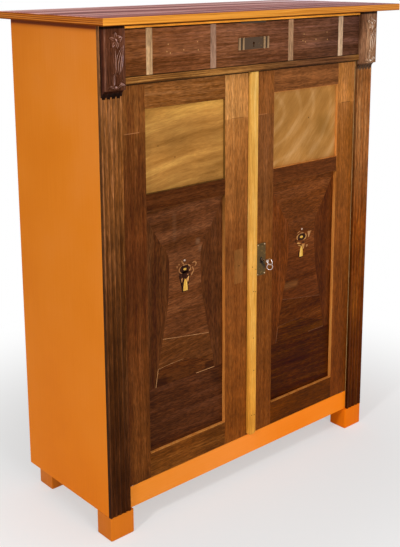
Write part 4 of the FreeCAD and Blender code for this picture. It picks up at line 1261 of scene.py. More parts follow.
@dataclass
class Carcass:
    """Case, top board, feet, shelves and back.

    Attributes:
        nail: radius of a back nail's head.
        nail_rows: distance of the nail rows from the back's lower and upper edge.
        boards: number of back boards.
        board_tones: tint of each back board, from the left.
        joint: half width of the dark joint between two back boards.
        bolt_ease: eased edge of the boards that a door bolt enters, small enough to keep its hole free.
    """

    nail: float = 2.6 * MM
    nail_rows: Span = (22.0 * MM, 10.0 * MM)
    boards: int = 6
    board_tones: tuple[str, ...] = ("f2e2cc", "ffffff", "e0d0bc", "fff2de", "e8dccc", "fff8ec")
    joint: float = 0.7 * MM
    bolt_ease: float = 0.4 * MM

    def build(self) -> None:
        """Dresses the case's nodes and builds feet and nails."""
        dress_nodes(TOP_BOARD, 0.0, "top_slab")
        dress_nodes(ORANGE, 1.2 * MM, "left_side")
        dress_nodes(replace(ORANGE, name="orange_paint_right", start=3.7), 1.2 * MM, "right_side")
        dress_nodes(ORANGE_RAIL, 1.0 * MM, "bottom_rail")
        dress_nodes(TOP_RAIL, EASE, "top_rail")
        dress_nodes(OAK, self.bolt_ease, "drawer_divider")
        dress_nodes(DEAL_ACROSS, self.bolt_ease, "bottom_board")
        dress_nodes(DEAL_ACROSS, 1.0 * MM, "rear_top_rail", "rear_bottom_rail", "lower_shelf", "upper_shelf")
        dress_nodes(DEAL_DEEP, EASE, "drawer_runners", "drawer_kickers", "shelf_battens")
        dress_nodes(DEAL, EASE, "front_posts", "stop_blocks")
        dress_nodes(STEEL, 0.0, "case_screws", "hinge_pins")
        for place in ("front_left", "front_right", "rear_left", "rear_right"):
            Foot(f"{place}_foot").build(ORANGE_FEET)
        self.back()
        self.nails()

    def back(self) -> None:
        """Dresses the back boards, each in its own tone, with dark joints between them."""
        low, high = corners_of("back_boards")
        edges = np.linspace(low[0], high[0], self.boards + 1).tolist()
        height = (float(low[2]), float(high[2]))
        joints = tuple(
            Patch((x - self.joint, x + self.joint), height, "2a1a0c", 0.75, self.joint) for x in edges[1:-1]
        )
        wood = replace(
            DEAL, name="back_deal", tones=("8a5c2e", "ab7c46", "c49a62"),
            columns=tuple(zip(edges, self.board_tones)), patches=joints,
        )
        dress_nodes(wood, 1.0 * MM, "back_boards")

    def nails(self) -> None:
        """Sets nail heads in two rows on the back boards, two to a board."""
        low, high = corners_of("back_boards")
        board = (high[0] - low[0]) / self.boards
        across = low[0] + board * (np.arange(self.boards)[:, None] + np.array([0.2, 0.8])).reshape(-1)
        up = np.array([low[2] + self.nail_rows[0], high[2] - self.nail_rows[1]])
        x, z = (part.reshape(-1) for part in np.meshgrid(across, up))
        centres = np.stack([x, np.full_like(x, high[1]), z], axis=1)
        make_piece("back_nails", domes(centres, self.nail, 0.8 * MM, 1.0), STEEL, "case")


@dataclass
class Drawer:
    """The drawer: walnut front with light strips, reeded lock plate and the marks of two lost pulls.

    Attributes:
        pull: distance of each lost pull's middle from the drawer's middle.
        pull_size: width and height of the pull's mark.
        pull_rise: height of the pulls' middle over the front's middle.
        plug: radius of a filled nail hole.
        holes: places of a pull's nail holes from its middle, in mm.
        fields: tints of the six fields between the strips, by their place along x.
        edges: tints by height, painted shadow of the gap along the upper and lower edge.
    """

    pull: float = 235.0 * MM
    pull_size: Span = (102.0 * MM, 28.0 * MM)
    pull_rise: float = 3.0 * MM
    plug: float = 1.6 * MM
    holes: tuple[Span, ...] = ((-46, 10), (46, 11), (-50, -7), (-40, -11), (2, -6), (48, -9))
    fields: Shade = (
        (-0.40, (1.06, 1.06, 0.94)), (-0.24, (1.15, 1.18, 1.3)), (-0.09, (1.05, 1.18, 1.56)),
        (0.09, (0.82, 0.90, 1.31)), (0.24, (0.79, 0.93, 1.55)), (0.40, (0.52, 0.62, 1.19)),
    )
    edges: Shade = ((1.1555, 0.25), (1.1572, 1.0), (1.2610, 1.0), (1.2624, 0.12))

    def build(self) -> None:
        """Dresses the drawer's nodes and sets the filled nail holes."""
        low, high = corners_of("drawer_front")
        middle = 0.5 * (low[2] + high[2]) + self.pull_rise
        half_x, half_z = 0.5 * self.pull_size[0], 0.5 * self.pull_size[1]
        height = (middle - half_z, middle + half_z)
        marks = tuple(
            Patch((x - half_x, x + half_x), height, "a8754c", 0.06) for x in (-self.pull, self.pull)
        )
        front = replace(
            WALNUT, name="drawer_walnut", start=0.25, streak=4.5 * MM, stretch=70.0, sway=6.0 * MM,
            contrast=1.15, patches=marks, shades=((Axis.X, self.fields),), gap_shadow=self.edges,
        )
        dress_nodes(front, EASE, "drawer_front")
        dress_nodes(DEAL_DEEP, EASE, "drawer_left_side", "drawer_right_side")
        dress_nodes(DEAL_ACROSS, 0.6 * MM, "drawer_bottom", "drawer_back")
        dress_nodes(STRIP_MAPLE, 0.0, "drawer_inlay_strips")
        dress_nodes(DRAWER_PLATE, METAL_EASE, "drawer_escutcheon")
        dress_nodes(LOCK_STEEL, 0.0, "drawer_lock")
        dress_nodes(STEEL, METAL_EASE, "drawer_lock_bolt")
        self.plugs(low[1], middle)

    def plugs(self, face: float, middle: float) -> None:
        """Fills the nail holes of the lost pulls.

        Args:
            face: y of the drawer's face.
            middle: z of the pulls' middle.
        """
        spots = np.array(self.holes) * MM
        both = np.concatenate([spots + np.array([side * self.pull, 0.0]) for side in (-1.0, 1.0)])
        centres = np.stack([both[:, 0], np.full(len(both), face), both[:, 1] + middle], axis=1)
        make_piece("drawer_plugs", domes(centres, self.plug, 0.3 * MM, -1.0), FILLER, "drawer")


def inlay_wood(name: str, tones: Tones, streak: float = 3.0, **grain: float) -> Wood:
    """The wood of small inlays, with streaks of so many mm."""
    return Wood(f"inlay_{name}", tones, streak=streak * MM, wear=0.0, **grain)


DARK = inlay_wood("dark", ("26120a", "381c10", "4a2a1a"), 4.0)
BLACK = inlay_wood("black", ("0c0402", "160a05", "22120a"))
BROWN = inlay_wood("brown", ("8c5830", "ac7444", "c08c5a"))
TAN = inlay_wood("tan", ("a0683a", "c08648", "d8a464"), pores=0.1)
PALE = inlay_wood("pale", ("c08c34", "dca848", "e8bc66"), pores=0.1, fleck=0.08)
WHITE = inlay_wood("white", ("b09078", "d0b4a0", "e4ccbc"), pores=0.1, fleck=0.08)
LAYERS = (DARK, BLACK, BROWN, TAN, PALE, WHITE)


@dataclass(frozen=True)
class Inlay:
    """One small shape of an inlaid flower, in mm from the flower's eye.

    Attributes:
        wood: its wood.
        rows: heights, each with the shape's left and right edge there.
        path: points of a thin strip, where the shape is one.
        half: the strip's greatest half width.
        thick: the shape's thickness in metres.
    """

    wood: Wood
    rows: tuple[Three, ...] = ()
    path: tuple[Span, ...] = ()
    half: float = 1.5
    thick: float = 0.6 * MM

    def surface(self, x: float, z: float, front: float) -> Surface:
        """A sheet between the rows' edges, or a ribbon along the path that thins towards its ends.

        Args:
            x: place of the eye across.
            z: its height.
            front: y of the shape's face.

        Returns:
            The closed shape.
        """
        if self.rows:
            up, left, right = np.array(self.rows).T * MM
            heights = np.linspace(up[0], up[-1], 18)
            edges = [x + np.interp(heights, up, side) for side in (left, right)]
            return flat_sheet(*edges, z + heights, front, self.thick)
        corners = np.array(self.path) * MM
        part = np.linspace(0.0, 1.0, 24)
        place = np.linspace(0.0, 1.0, len(corners))
        line = np.stack([np.interp(part, place, corners[:, i]) for i in (0, 1)], axis=1)
        width = self.half * MM * (0.4 + 0.6 * np.sin(math.pi * part))
        return ribbon(line + np.array([x, z]), width, front, self.thick)


def arc(first: float, last: float, wide: float = 19.0, high: float = 11.2) -> tuple[Span, ...]:
    """Points of an oval arc round the flower's eye: wide * cosine and high * sine of first to last degree."""
    angle = np.radians(np.linspace(first, last, 9))
    return tuple(zip((wide * np.cos(angle)).tolist(), (high * np.sin(angle)).tolist()))


def spot(wood: Wood, x: float, z: float, wide: float, high: float) -> Inlay:
    """A small oval: half width = wide times the square root of 1 - t^2 from its foot to its head."""
    halves = [(t, wide * math.sqrt(1.0 - t * t)) for t in np.linspace(-0.97, 0.97, 9).tolist()]
    return Inlay(wood, tuple((z + high * t, x - half, x + half) for t, half in halves))


LEFT_FLOWER = (
    Inlay(DARK, ((-60, -10.2, 12), (-37, -12.5, 11), (-26, -16.5, 13.8), (-15, -19, 15.5), (-6, -20, 18))),
    spot(DARK, 0.0, 0.0, 19.0, 11.2),
    *(spot(BLACK, x, z, 2.4, 2.0) for x, z in ((8.7, 7.1), (-9.7, 6.5), (-9.3, -6.9), (9.6, -5.9))),
    Inlay(BLACK, path=((-19.5, -14), (-14, -30), (-10.5, -45), (-9.5, -60)), half=1.6),
    Inlay(BLACK, path=((16, -16), (13.2, -30), (11.4, -42)), half=1.4),
    spot(PALE, 0.0, 0.0, 5.0, 3.1),
    Inlay(
        PALE, ((-58, -6.1, 9.6), (-48, -5.4, 8.8), (-37.6, -3.9, 7.4), (-30, -1.8, 4.4), (-25.2, -0.2, 0.5))
    ),
    Inlay(TAN, ((-36.3, 8.6, 9.8), (-32.4, 6.6, 11.9), (-27.8, 4.7, 12.9), (-20.8, 12.4, 13.9))),
    Inlay(BROWN, ((-34, -11, -10), (-29, -12, -8.4), (-24, -12.6, -7.4), (-22.5, -9, -6.6))),
    Inlay(BROWN, path=arc(122.0, 240.0), half=1.8),
    Inlay(BROWN, path=arc(66.0, 112.0), half=1.3),
    Inlay(BROWN, path=arc(12.0, 60.0), half=1.8),
    Inlay(BROWN, path=arc(-44.0, 4.0), half=1.9),
    Inlay(BROWN, path=((-11, 24.5), (-8, 19), (-4, 13.5)), half=2.0),
    spot(BROWN, -19.6, 15.7, 2.4, 2.0),
    spot(BROWN, -25.5, 10.0, 2.4, 3.0),
    Inlay(BROWN, path=((25, 11), (32.6, 13.4), (38.8, 8.6), (33.5, 1)), half=1.6),
    Inlay(BROWN, path=((25.4, 1), (29.9, -9.4), (24.5, -15.7), (20.9, -21)), half=1.9),
    spot(BROWN, 9.6, -16.0, 2.2, 1.4),
    spot(WHITE, -0.7, 23.4, 2.9, 2.6),
)
RIGHT_FLOWER = (
    spot(DARK, 0.0, 0.0, 18.0, 10.4),
    Inlay(DARK, path=((0.6, -15.5), (12.3, -18.5)), half=2.2),
    *(spot(BLACK, x, z, 3.4, 2.2) for x, z in ((-8.8, 7.6), (5.3, 7.4), (11.0, -2.0), (-9.3, -6.2))),
    Inlay(BLACK, path=((-10.8, -39), (-10.2, -50), (-9.2, -58)), half=1.5),
    Inlay(BLACK, path=((-7, -59.4), (7.6, -59.6)), half=1.2),
    Inlay(BLACK, path=((-22.8, -3), (-23.2, -9), (-22.2, -15)), half=1.4),
    spot(PALE, 0.0, 0.0, 6.0, 3.6),
    Inlay(
        PALE, ((-57.6, -7.6, 7.0), (-48, -6.6, 6.4), (-37, -4.7, 5.3), (-30, -2.4, 2.6), (-25.9, -0.9, -0.3))
    ),
    Inlay(TAN, ((-36, 5.0, 10.5), (-30, 4.5, 12), (-22.3, 2.0, 14.0))),
    Inlay(TAN, path=((-18, -15.4), (-4, -18.4)), half=2.5),
    Inlay(TAN, path=((-12.3, -23), (-3, -26)), half=1.6),
    Inlay(TAN, path=arc(118.0, 214.0, 18.5, 11.0), half=1.8),
    Inlay(BROWN, path=arc(60.0, 108.0, 18.5, 11.4), half=1.5),
    Inlay(TAN, path=arc(-66.0, 34.0, 19.5, 11.4), half=2.0),
    Inlay(BROWN, ((-6, 28.5, 30.5), (0, 27.4, 34.4), (6, 26, 38), (11.6, 25, 42))),
    Inlay(BROWN, ((-34, 21.6, 22.6), (-29, 20, 28), (-27, 19.6, 26))),
    Inlay(BROWN, path=((-6.4, 17.7), (-16.9, 14)), half=1.5),
    spot(WHITE, 1.2, 22.9, 3.2, 2.6),
)


class Veneer(Enum):
    """The veneers of a lower panel, by the names of their pieces."""

    NECK = "vase_neck"
    VASE = "vase_body"
    BAND = "vase_band"
    LEFT = "veneer_left"
    RIGHT = "veneer_right"
    FIELD = "veneer_field"


@dataclass
class Marquetry:
    """The lower panel's picture: a waisted vase between side veneers, over a dark field, with a small flower.

    Attributes:
        side: the door's side.
        line_tones: dark, middle and light of the light lines.
        proud: how far the veneers stand before the panel's face.
        seam: gap between two veneers.
        outline: heights over the opening's lower edge with the vase's half width there, in mm.
        foot: height of the vase's foot.
        band: heights of the foot band's upper line at the left, middle and right.
        crown: how far that line bows up in its middle.
        line: heights of the light line across the vase at the left and right.
        flower: height of the flower's eye.
    """

    side: Side
    line_tones: Tones
    proud: float = 0.4 * MM
    seam: float = 0.1 * MM
    outline: tuple[Span, ...] = (
        (168.5, 100.0), (216.5, 92.0), (281.5, 78.0), (371.5, 59.0), (411.5, 54.5),
        (491.5, 51.5), (511.5, 56.0), (556.5, 86.5), (616.5, 122.0), (637.0, 128.4),
    )
    foot: float = 168.5 * MM
    band: Three = (216.0 * MM, 215.0 * MM, 189.0 * MM)
    crown: float = 6.0 * MM
    line: Span = (293.0 * MM, 270.0 * MM)
    flower: float = 462.4 * MM

    def __post_init__(self) -> None:
        """Reads the panel's place from the frame."""
        low, high = corners_of(f"{self.side.word}_door_lower_panel")
        self.low = low + np.array([REBATE, 0.0, REBATE])
        self.high = high - np.array([REBATE, 0.0, REBATE])
        self.centre = 0.5 * (self.low[0] + self.high[0])
        self.face = low[1] - self.proud
        self.body = f"{self.side.word}_door"

    def half_width(self, z: Array) -> Array:
        """The vase's half width at the heights z, read off its outline."""
        table = np.array(self.outline) * MM
        return np.interp(z - self.low[2], table[:, 0], table[:, 1])

    def put(self, name: str, surface: Surface, finish: Finish) -> None:
        """Adds one veneer or inlay of this panel."""
        make_piece(f"{self.body}_{name}", surface, finish, self.body, smooth=30.0)

    def vase_part(self, low: Array, high: Array) -> Surface:
        """The vase between two lines: z runs from low to high, x = centre + u * half width(z).

        Args:
            low: z of the lower line at points across.
            high: z of the upper line at the same points.

        Returns:
            The veneer.
        """
        up = np.linspace(0.0, 1.0, 48)[:, None]
        across = np.linspace(-1.0, 1.0, len(low))[None, :]
        z = low + up * (high - low)
        x = self.centre + across * (self.half_width(z) - 0.5 * self.seam)
        return sheet(x, z, self.face, 1.5 * self.proud)

    def build(self, woods: dict[Veneer, Wood]) -> None:
        """Lays the veneers, the light lines and the flower.

        Args:
            woods: the panel's woods.
        """
        across = np.linspace(-1.0, 1.0, 25)
        base = np.full(25, self.low[2] + self.foot)
        band = self.low[2] + np.interp(across, [-1.0, 0.0, 1.0], self.band)
        band += self.crown * (1.0 - across**2)
        line = self.low[2] + np.interp(across, [-1.0, 1.0], self.line)
        gap = self.seam
        z = np.linspace(self.low[2] + self.foot + gap, self.high[2] - gap, 60)
        half = self.half_width(z) + 0.5 * gap
        left, right = (np.full(60, end[0]) for end in (self.low, self.high))
        low_z = np.linspace(self.low[2], self.low[2] + self.foot, 12)
        depth = 1.5 * self.proud
        sheets = {
            Veneer.BAND: self.vase_part(base + gap, band),
            Veneer.VASE: self.vase_part(band + gap, line),
            Veneer.NECK: self.vase_part(line + gap, np.full(25, self.high[2] - gap)),
            Veneer.LEFT: flat_sheet(left, self.centre - half, z, self.face, depth),
            Veneer.RIGHT: flat_sheet(self.centre + half, right, z, self.face, depth),
            Veneer.FIELD: flat_sheet(left[:12], right[:12], low_z, self.face, depth),
        }
        for veneer, surface in sheets.items():
            self.put(veneer.value, surface, woods[veneer])
        self.lines(across, line, band)
        self.lay_flower()

    def lines(self, across: Array, line: Array, band: Array) -> None:
        """Lays the light lines: across the vase, over the band's left half, up its left edge, along its foot.

        Args:
            across: places across the vase, -1 to 1.
            line: heights of the cross line there.
            band: heights of the band's upper line there.
        """
        z = self.low[2] + np.linspace(self.foot, self.band[0], 10)
        foot = self.centre + self.half_width(z[:1]) * np.linspace(0.35, 1.0, 8)
        strips = (
            (self.centre + across * self.half_width(line), line, 0.6 * MM),
            ((self.centre + across * self.half_width(band))[:12], band[:12], 0.35 * MM),
            (self.centre - self.half_width(z), z, 0.8 * MM),
            (foot, np.full(8, z[0]), 0.8 * MM),
        )
        front = self.face - 0.15 * MM
        whole = joined([ribbon(np.stack([x, z], axis=1), half, front, 0.5 * MM) for x, z, half in strips])
        pale = replace(PINE, name=f"{self.side.word}_pale_line", tones=self.line_tones, wear=0.0)
        self.put("pale_lines", whole, pale)

    def lay_flower(self) -> None:
        """Lays the flower's small shapes, those of one wood as one piece."""
        x, z = self.centre - 1.0 * MM, self.low[2] + self.flower
        shapes = LEFT_FLOWER if self.side is Side.LEFT else RIGHT_FLOWER
        for layer, wood in enumerate(LAYERS):
            front = self.face - (0.12 + 0.05 * layer) * MM
            parts = [shape.surface(x, z, front) for shape in shapes if shape.wood is wood]
            self.put(wood.name.replace("inlay", "flower"), joined(parts), wood)


@dataclass
class Lipping:
    """A thin strip round the inner edge of a door frame's opening.

    Attributes:
        panel: the panel that the opening shows.
        body: the door's body.
        frame_face: y of the door's face.
        thick: the strip's thickness.
    """

    panel: str
    body: str
    frame_face: float
    thick: float = 0.6 * MM

    def build(self, finish: Finish) -> None:
        """Carries a small rectangle round the opening's four corners, mitred.

        Args:
            finish: the strip's wood.
        """
        low, high = corners_of(self.panel)
        inner, outer = REBATE + self.thick, REBATE - self.thick
        front, back = np.array([self.frame_face, low[1]]) + np.array([0.5, 0.2]) * MM
        inset, y = np.array([[outer, front], [inner, front], [inner, back], [outer, back]]).T
        corners = np.where(CORNERS > 0.0, low[::2], high[::2])
        flat = corners[:, None] + CORNERS[:, None] * inset[:, None]
        points = np.stack([flat[..., 0], np.broadcast_to(y, (4, 4)), flat[..., 1]], axis=-1)
        surface = Surface(points.reshape(-1, 3), [grid_faces(4, 4, True, True)]).outward()
        make_piece(f"{self.panel}_lipping", surface, finish, self.body, smooth=20.0)


@dataclass
class Door:
    """One framed door with its two panels.

    Attributes:
        side: the door's side.
        hinge: wood of the hinge stile.
        meeting: wood of the meeting stile.
        rails: wood of the three rails.
        upper: veneer of the upper panel.
        reveal: strip round the upper panel.
        veneers: veneers of the lower panel.
        line_tones: dark, middle and light of the lower panel's light lines.
        painted_light: how bright the lower panel's lipping stays near its top, under painted shade.
    """

    side: Side
    hinge: Wood
    meeting: Wood
    rails: Wood
    upper: Wood
    reveal: Wood
    veneers: dict[Veneer, Wood]
    line_tones: Tones
    painted_light: float

    def build(self) -> None:
        """Dresses the frame and panels, lays the marquetry and the lippings."""
        body = f"{self.side.word}_door"
        lower, upper = f"{body}_lower_panel", f"{body}_upper_panel"
        dress_nodes(self.hinge, EASE, f"{body}_hinge_stile")
        dress_nodes(self.meeting, EASE, f"{body}_meeting_stile")
        dress_nodes(self.rails, EASE, f"{body}_rails")
        dress_nodes(self.upper, 0.0, upper)
        dress_nodes(self.veneers[Veneer.FIELD], 0.0, lower)
        dress_nodes(DEAL, EASE, f"{body}_panel_beads")
        dress_nodes(STEEL, 0.0, f"{body}_hinge_sockets")
        face = corners_of(f"{body}_rails")[0][1]
        left, top = corners_of(lower)[0][0] + REBATE, corners_of(lower)[1][2] - REBATE
        # Painted shade on the lower panel's lipping: dark along its left side and towards its top.
        across = ((left, 0.2), (left + 2.0 * MM, 0.2), (left + 4.0 * MM, 1.0))
        upwards = ((top - 0.25, 1.0), (top - 0.1, 0.2 + self.painted_light), (top - 3.0 * MM, self.painted_light), (top, 0.2))
        strip = replace(LIPPING, name=f"{body}_lipping", shades=((Axis.X, across), (Axis.Z, upwards)))
        Lipping(lower, body, face).build(strip)
        Lipping(upper, body, face).build(self.reveal)
        Marquetry(self.side, self.line_tones).build(self.veneers)


@dataclass
class LockSet:
    """Astragal, escutcheon, key, locks and bolts of the doors.

    Attributes:
        soft: radius of the astragal's front edges.
        tail: radius of the astragal's rounded lower corners.
        dark: rectangles of painted shade in the keyhole and of the key's painted shadow on the door plate,
        from the key's axis: left, right, lower and upper edge and soft border in mm, and how dark.
    """

    soft: float = 4.0 * MM
    tail: float = 8.0 * MM
    dark: tuple[tuple[float, ...], ...] = (
        (-3.6, 3.6, -10.0, 4.8, 1.4, 0.95),
        (2.0, 7.0, -14.0, -7.0, 3.0, 0.75),
        (6.0, 11.0, -19.0, -12.0, 3.0, 0.7),
        (11.0, 17.0, -26.0, -17.0, 3.0, 0.65),
    )

    def build(self) -> None:
        """Dresses the metal and builds the astragal."""
        self.plate()
        dress_nodes(PIN_BRASS, 0.0, "escutcheon_pins")
        dress_nodes(KEY_STEEL, 0.0, "door_key")
        dress_nodes(BRASS, METAL_EASE, "left_door_keeper")
        dress_nodes(STEEL, 0.4 * MM, "door_lock_case", "door_lock_bolt", "left_door_bolt_guides")
        dress_nodes(STEEL, METAL_EASE, "left_door_top_bolt", "left_door_bottom_bolt")
        self.astragal()

    def plate(self) -> None:
        """Dresses the door's plate, whose middle is the key's axis."""
        low, high = corners_of("door_escutcheon")
        x, _, z = (0.5 * (low + high)).tolist()
        # The patches are painted shade in the keyhole and the key's painted shadow.
        patches = []
        for row in self.dark:
            left, right, lower, upper, soft = (MM * part for part in row[:5])
            patches.append(Patch((x + left, x + right), (z + lower, z + upper), "0c0703", row[5], soft))
        dress_nodes(replace(DOOR_PLATE, patches=tuple(patches)), METAL_EASE, "door_escutcheon")

    def astragal(self) -> None:
        """Carries a section with two rounded front edges up the door; the foot is a quarter circle."""
        low, high = corners_of("astragal_strip")
        turn = np.linspace(0.0, QUARTER, 8)
        draw_in = np.append(self.tail * (1.0 - np.sin(turn)), [0.0, 0.0])
        rise = np.append(self.tail * (1.0 - np.cos(turn)), [0.3, high[2] - low[2]])
        half = 0.5 * (high[0] - low[0]) - draw_in
        inset = np.append(0.0, self.soft * (1.0 - np.cos(turn)))
        depth = np.append(high[1], low[1] + self.soft * (1.0 - np.sin(turn)))
        side = half[:, None] - inset[None, :]
        middle = 0.5 * (low[0] + high[0])
        x = middle + np.concatenate([side, -side[:, ::-1]], axis=1)
        y = np.broadcast_to(np.concatenate([depth, depth[::-1]]), x.shape)
        z = np.broadcast_to(low[2] + rise[:, None], x.shape)
        surface = loft(np.stack([x, y, z], axis=-1))
        piece = make_piece("astragal_pine", surface, PINE_STRIP, "right_door")
        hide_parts("astragal_strip")


@dataclass
class Studio:
    """Floor, world, lamps and camera.

    Attributes:
        eye: the camera's place.
        yaw: turn to the right of straight ahead, in degrees.
        pitch: tilt downwards, in degrees.
        roll: turn about the view line, in degrees.
        focal: focal length in pixels of the photograph.
        axis_row: pixel row that the view line passes.
        picture: the photograph's width and height in pixels.
        ambient: strength of the even light.
        floor_rings: radii of the floor's rings.
        fade: distances between which the floor fades into the background.
        lamps: each lamp's name, place, aim, side and power in watts.
    """

    eye: Three = (-1.7125, -1.8947, 1.4067)
    yaw: float = 41.36
    pitch: float = 12.33
    roll: float = -0.24
    focal: float = 952.3
    axis_row: float = 172.0
    picture: Span = (400, 547)
    ambient: float = 0.36
    floor_rings: tuple[float, ...] = (0.001, 0.5, 1.0, 2.0, 4.0, 8.0)
    fade: Span = (0.45, 1.3)
    lamps: tuple[tuple[str, Point, Point, float, float], ...] = (
        ("front_lamp", (-0.7, -3.4, 1.3), (0.0, 0.0, 0.7), 1.2, 46.0),
        ("side_lamp", (-3.0, -1.0, 2.1), (-0.4, 0.0, 0.8), 0.3, 40.0),
        ("right_lamp", (2.6, -2.6, 2.2), (0.0, 0.0, 0.7), 1.6, 12.0),
    )

    def build(self) -> None:
        """Sets up the whole stage."""
        bpy.context.scene.view_settings.view_transform = "Standard"
        self.camera()
        self.world()
        self.floor()
        for row in self.lamps:
            self.lamp(*row)

    def camera(self) -> None:
        """Places the camera: its axes are the view line turned by yaw, pitch and roll."""
        yaw, pitch, roll = (math.radians(angle) for angle in (self.yaw, self.pitch, self.roll))
        view = Vector((math.sin(yaw) * math.cos(pitch), math.cos(yaw) * math.cos(pitch), -math.sin(pitch)))
        level = Vector((math.cos(yaw), -math.sin(yaw), 0.0))
        up = level.cross(view)
        right = level * math.cos(roll) + up * math.sin(roll)
        up = right.cross(view)
        data = bpy.data.cameras.new("camera")
        data.sensor_width = 36.0
        data.lens = self.focal * data.sensor_width / max(self.picture)
        data.shift_y = (self.axis_row - 0.5 * self.picture[1]) / max(self.picture)
        camera = bpy.data.objects.new("camera", data)
        bpy.context.scene.collection.objects.link(camera)
        turn = Matrix((right, up, -view)).transposed()
        camera.matrix_world = Matrix.Translation(self.eye) @ turn.to_4x4()
        bpy.context.scene.camera = camera

    def seen(self, graph: Graph) -> Socket:
        """1 for rays that show the background: straight, mirrored or through glass.

        Args:
            graph: the nodes of a material or of the world.

        Returns:
            The socket of that 1 or 0.
        """
        path = graph.add("ShaderNodeLightPath").outputs
        shown = graph.math("MAXIMUM", path["Is Camera Ray"], path["Is Glossy Ray"])
        return graph.math("MAXIMUM", shown, path["Is Transmission Ray"])

    def world(self) -> None:
        """White to the eye, and an even soft light of the ambient strength on everything."""
        world = bpy.data.worlds.new("studio")
        world.use_nodes = True
        bpy.context.scene.world = world
        graph = Graph(world.node_tree)
        strength = graph.span(self.seen(graph), 0.0, 1.0, self.ambient, 1.0)
        back = graph.add("ShaderNodeBackground", {"Color": (1.0, 1.0, 1.0, 1.0), "Strength": strength})
        graph.add("ShaderNodeOutputWorld", {"Surface": back.outputs[0]})

    def floor(self) -> None:
        """A pale round floor, x = r cos t and y = r sin t, that fades into the white background."""
        rings, around = len(self.floor_rings), 48
        radius = np.array(self.floor_rings)[:, None]
        angle = np.linspace(0.0, 2.0 * math.pi, around, endpoint=False)[None, :]
        flat = np.stack([radius * np.cos(angle), radius * np.sin(angle), np.zeros((rings, around))], axis=-1)
        mesh = bpy.data.meshes.new("floor")
        mesh.from_pydata(flat.reshape(-1, 3).tolist(), [], grid_faces(rings, around, False, True).tolist())
        floor = bpy.data.objects.new("floor", mesh)
        bpy.context.scene.collection.objects.link(floor)
        paint = bpy.data.materials.new("pale_floor")
        paint.use_nodes = True
        mesh.materials.append(paint)
        graph = Graph(paint.node_tree)
        far = graph.span(graph.vector("LENGTH", graph.point())["Value"], *self.fade, 0.45, 1.0)
        fade = graph.math("MULTIPLY", far, self.seen(graph))
        matt = graph.add("ShaderNodeBsdfDiffuse", {"Color": (0.92, 0.92, 0.92, 1.0)})
        glow = graph.add("ShaderNodeEmission")
        both = graph.add("ShaderNodeMixShader", (fade, matt.outputs[0], glow.outputs[0]))
        graph.add("ShaderNodeOutputMaterial", {"Surface": both.outputs[0]})

    def lamp(self, name: str, place: Point, aim: Point, size: float, power: float) -> None:
        """Hangs a soft square lamp.

        Args:
            name: the lamp's name.
            place: where it hangs.
            aim: the point it faces.
            size: its side.
            power: its power in watts.
        """
        data = bpy.data.lights.new(name, "AREA")
        data.size = size
        data.energy = power
        lamp = bpy.data.objects.new(name, data)
        bpy.context.scene.collection.objects.link(lamp)
        lamp.location = place
        lamp.rotation_euler = (Vector(aim) - Vector(place)).to_track_quat("-Z", "Y").to_euler()


# Height of the joint line near the stiles' tops, and the painted shadow line of the gap over the doors.
JOINT_LINE = 1.0205
DOOR_HEAD_SHADOW = ((1.1325, 1.0), (1.1338, 0.12))


def stile(
    name: str,
    x: Span,
    tones: Tones,
    start: float,
    tints: Sequence[Tint],
    below: Tint = 1.0,
    joint: str = "b8794a",
) -> Wood:
    """A door stile's wood, with a joint line near its top.

    Args:
        name: the finish's name.
        x: left and right end of the joint line.
        tones: dark, middle and light below the joint line.
        start: the plank's own place in the tree.
        tints: tints at the foot, at the middle and above the joint line.
        below: tint just below the joint line.
        joint: colour of the joint line.

    Returns:
        The finish.
    """
    line = Patch(x, (JOINT_LINE - 0.6 * MM, JOINT_LINE + 0.6 * MM), joint, 0.6, 0.6 * MM)
    low, middle, above = tints
    heights = (
        (0.2, low), (0.68, middle), (0.92, 1.0), (JOINT_LINE, below), (JOINT_LINE + 1.0 * MM, above),
    )
    return Wood(
        name, tones, streak=3.4 * MM, stretch=44.0, contrast=0.9, start=start,
        shades=((Axis.Z, heights),), gap_shadow=DOOR_HEAD_SHADOW, patches=(line,),
    )


def rail(name: str, tones: Tones, start: float, tints: Sequence[Tint]) -> Wood:
    """The wood of a door's rails.

    Args:
        name: the finish's name.
        tones: dark, middle and light.
        start: the plank's own place in the tree.
        tints: tints of the lower, middle and upper rail.

    Returns:
        The finish.
    """
    low, middle, above = tints
    heights = ((0.3, low), (0.83, middle), (0.87, middle), (1.08, above))
    return replace(
        WALNUT, name=name, tones=tones, start=start, stretch=40.0, contrast=1.35,
        shades=((Axis.Z, heights),), gap_shadow=DOOR_HEAD_SHADOW,
    )


GRAINS = {
    Veneer.NECK: (Axis.X, -3.0),
    Veneer.VASE: (Axis.X, -5.0),
    Veneer.BAND: (Axis.X, 3.0),
    Veneer.LEFT: (Axis.Z, 0.0),
    Veneer.RIGHT: (Axis.Z, 0.0),
    Veneer.FIELD: (Axis.X, 2.0),
}


def veneers(side: Side, woods: dict[Veneer, tuple]) -> dict[Veneer, Wood]:
    """The veneers of a lower panel.

    Args:
        side: the door's side.
        woods: dark, middle and light tone of each, with its tints by height and its patches if it has them.

    Returns:
        The finishes.
    """
    made = {}
    for index, (veneer, (tones, *extras)) in enumerate(woods.items()):
        heights, patches = extras if extras else ((), ())
        name = f"{side.word}_{veneer.name.lower()}_veneer"
        made[veneer] = Wood(
            name, tones, *GRAINS[veneer], streak=6.0 * MM, stretch=22.0,
            blend=(0.46, 0.32, 0.22), start=1.0 + side.value + 0.3 * index, fleck=0.34, wear=0.0,
            contrast=0.7 if veneer is Veneer.NECK else 0.85,
            shades=((Axis.Z, heights),) if heights else (), patches=patches,
        )
    return made


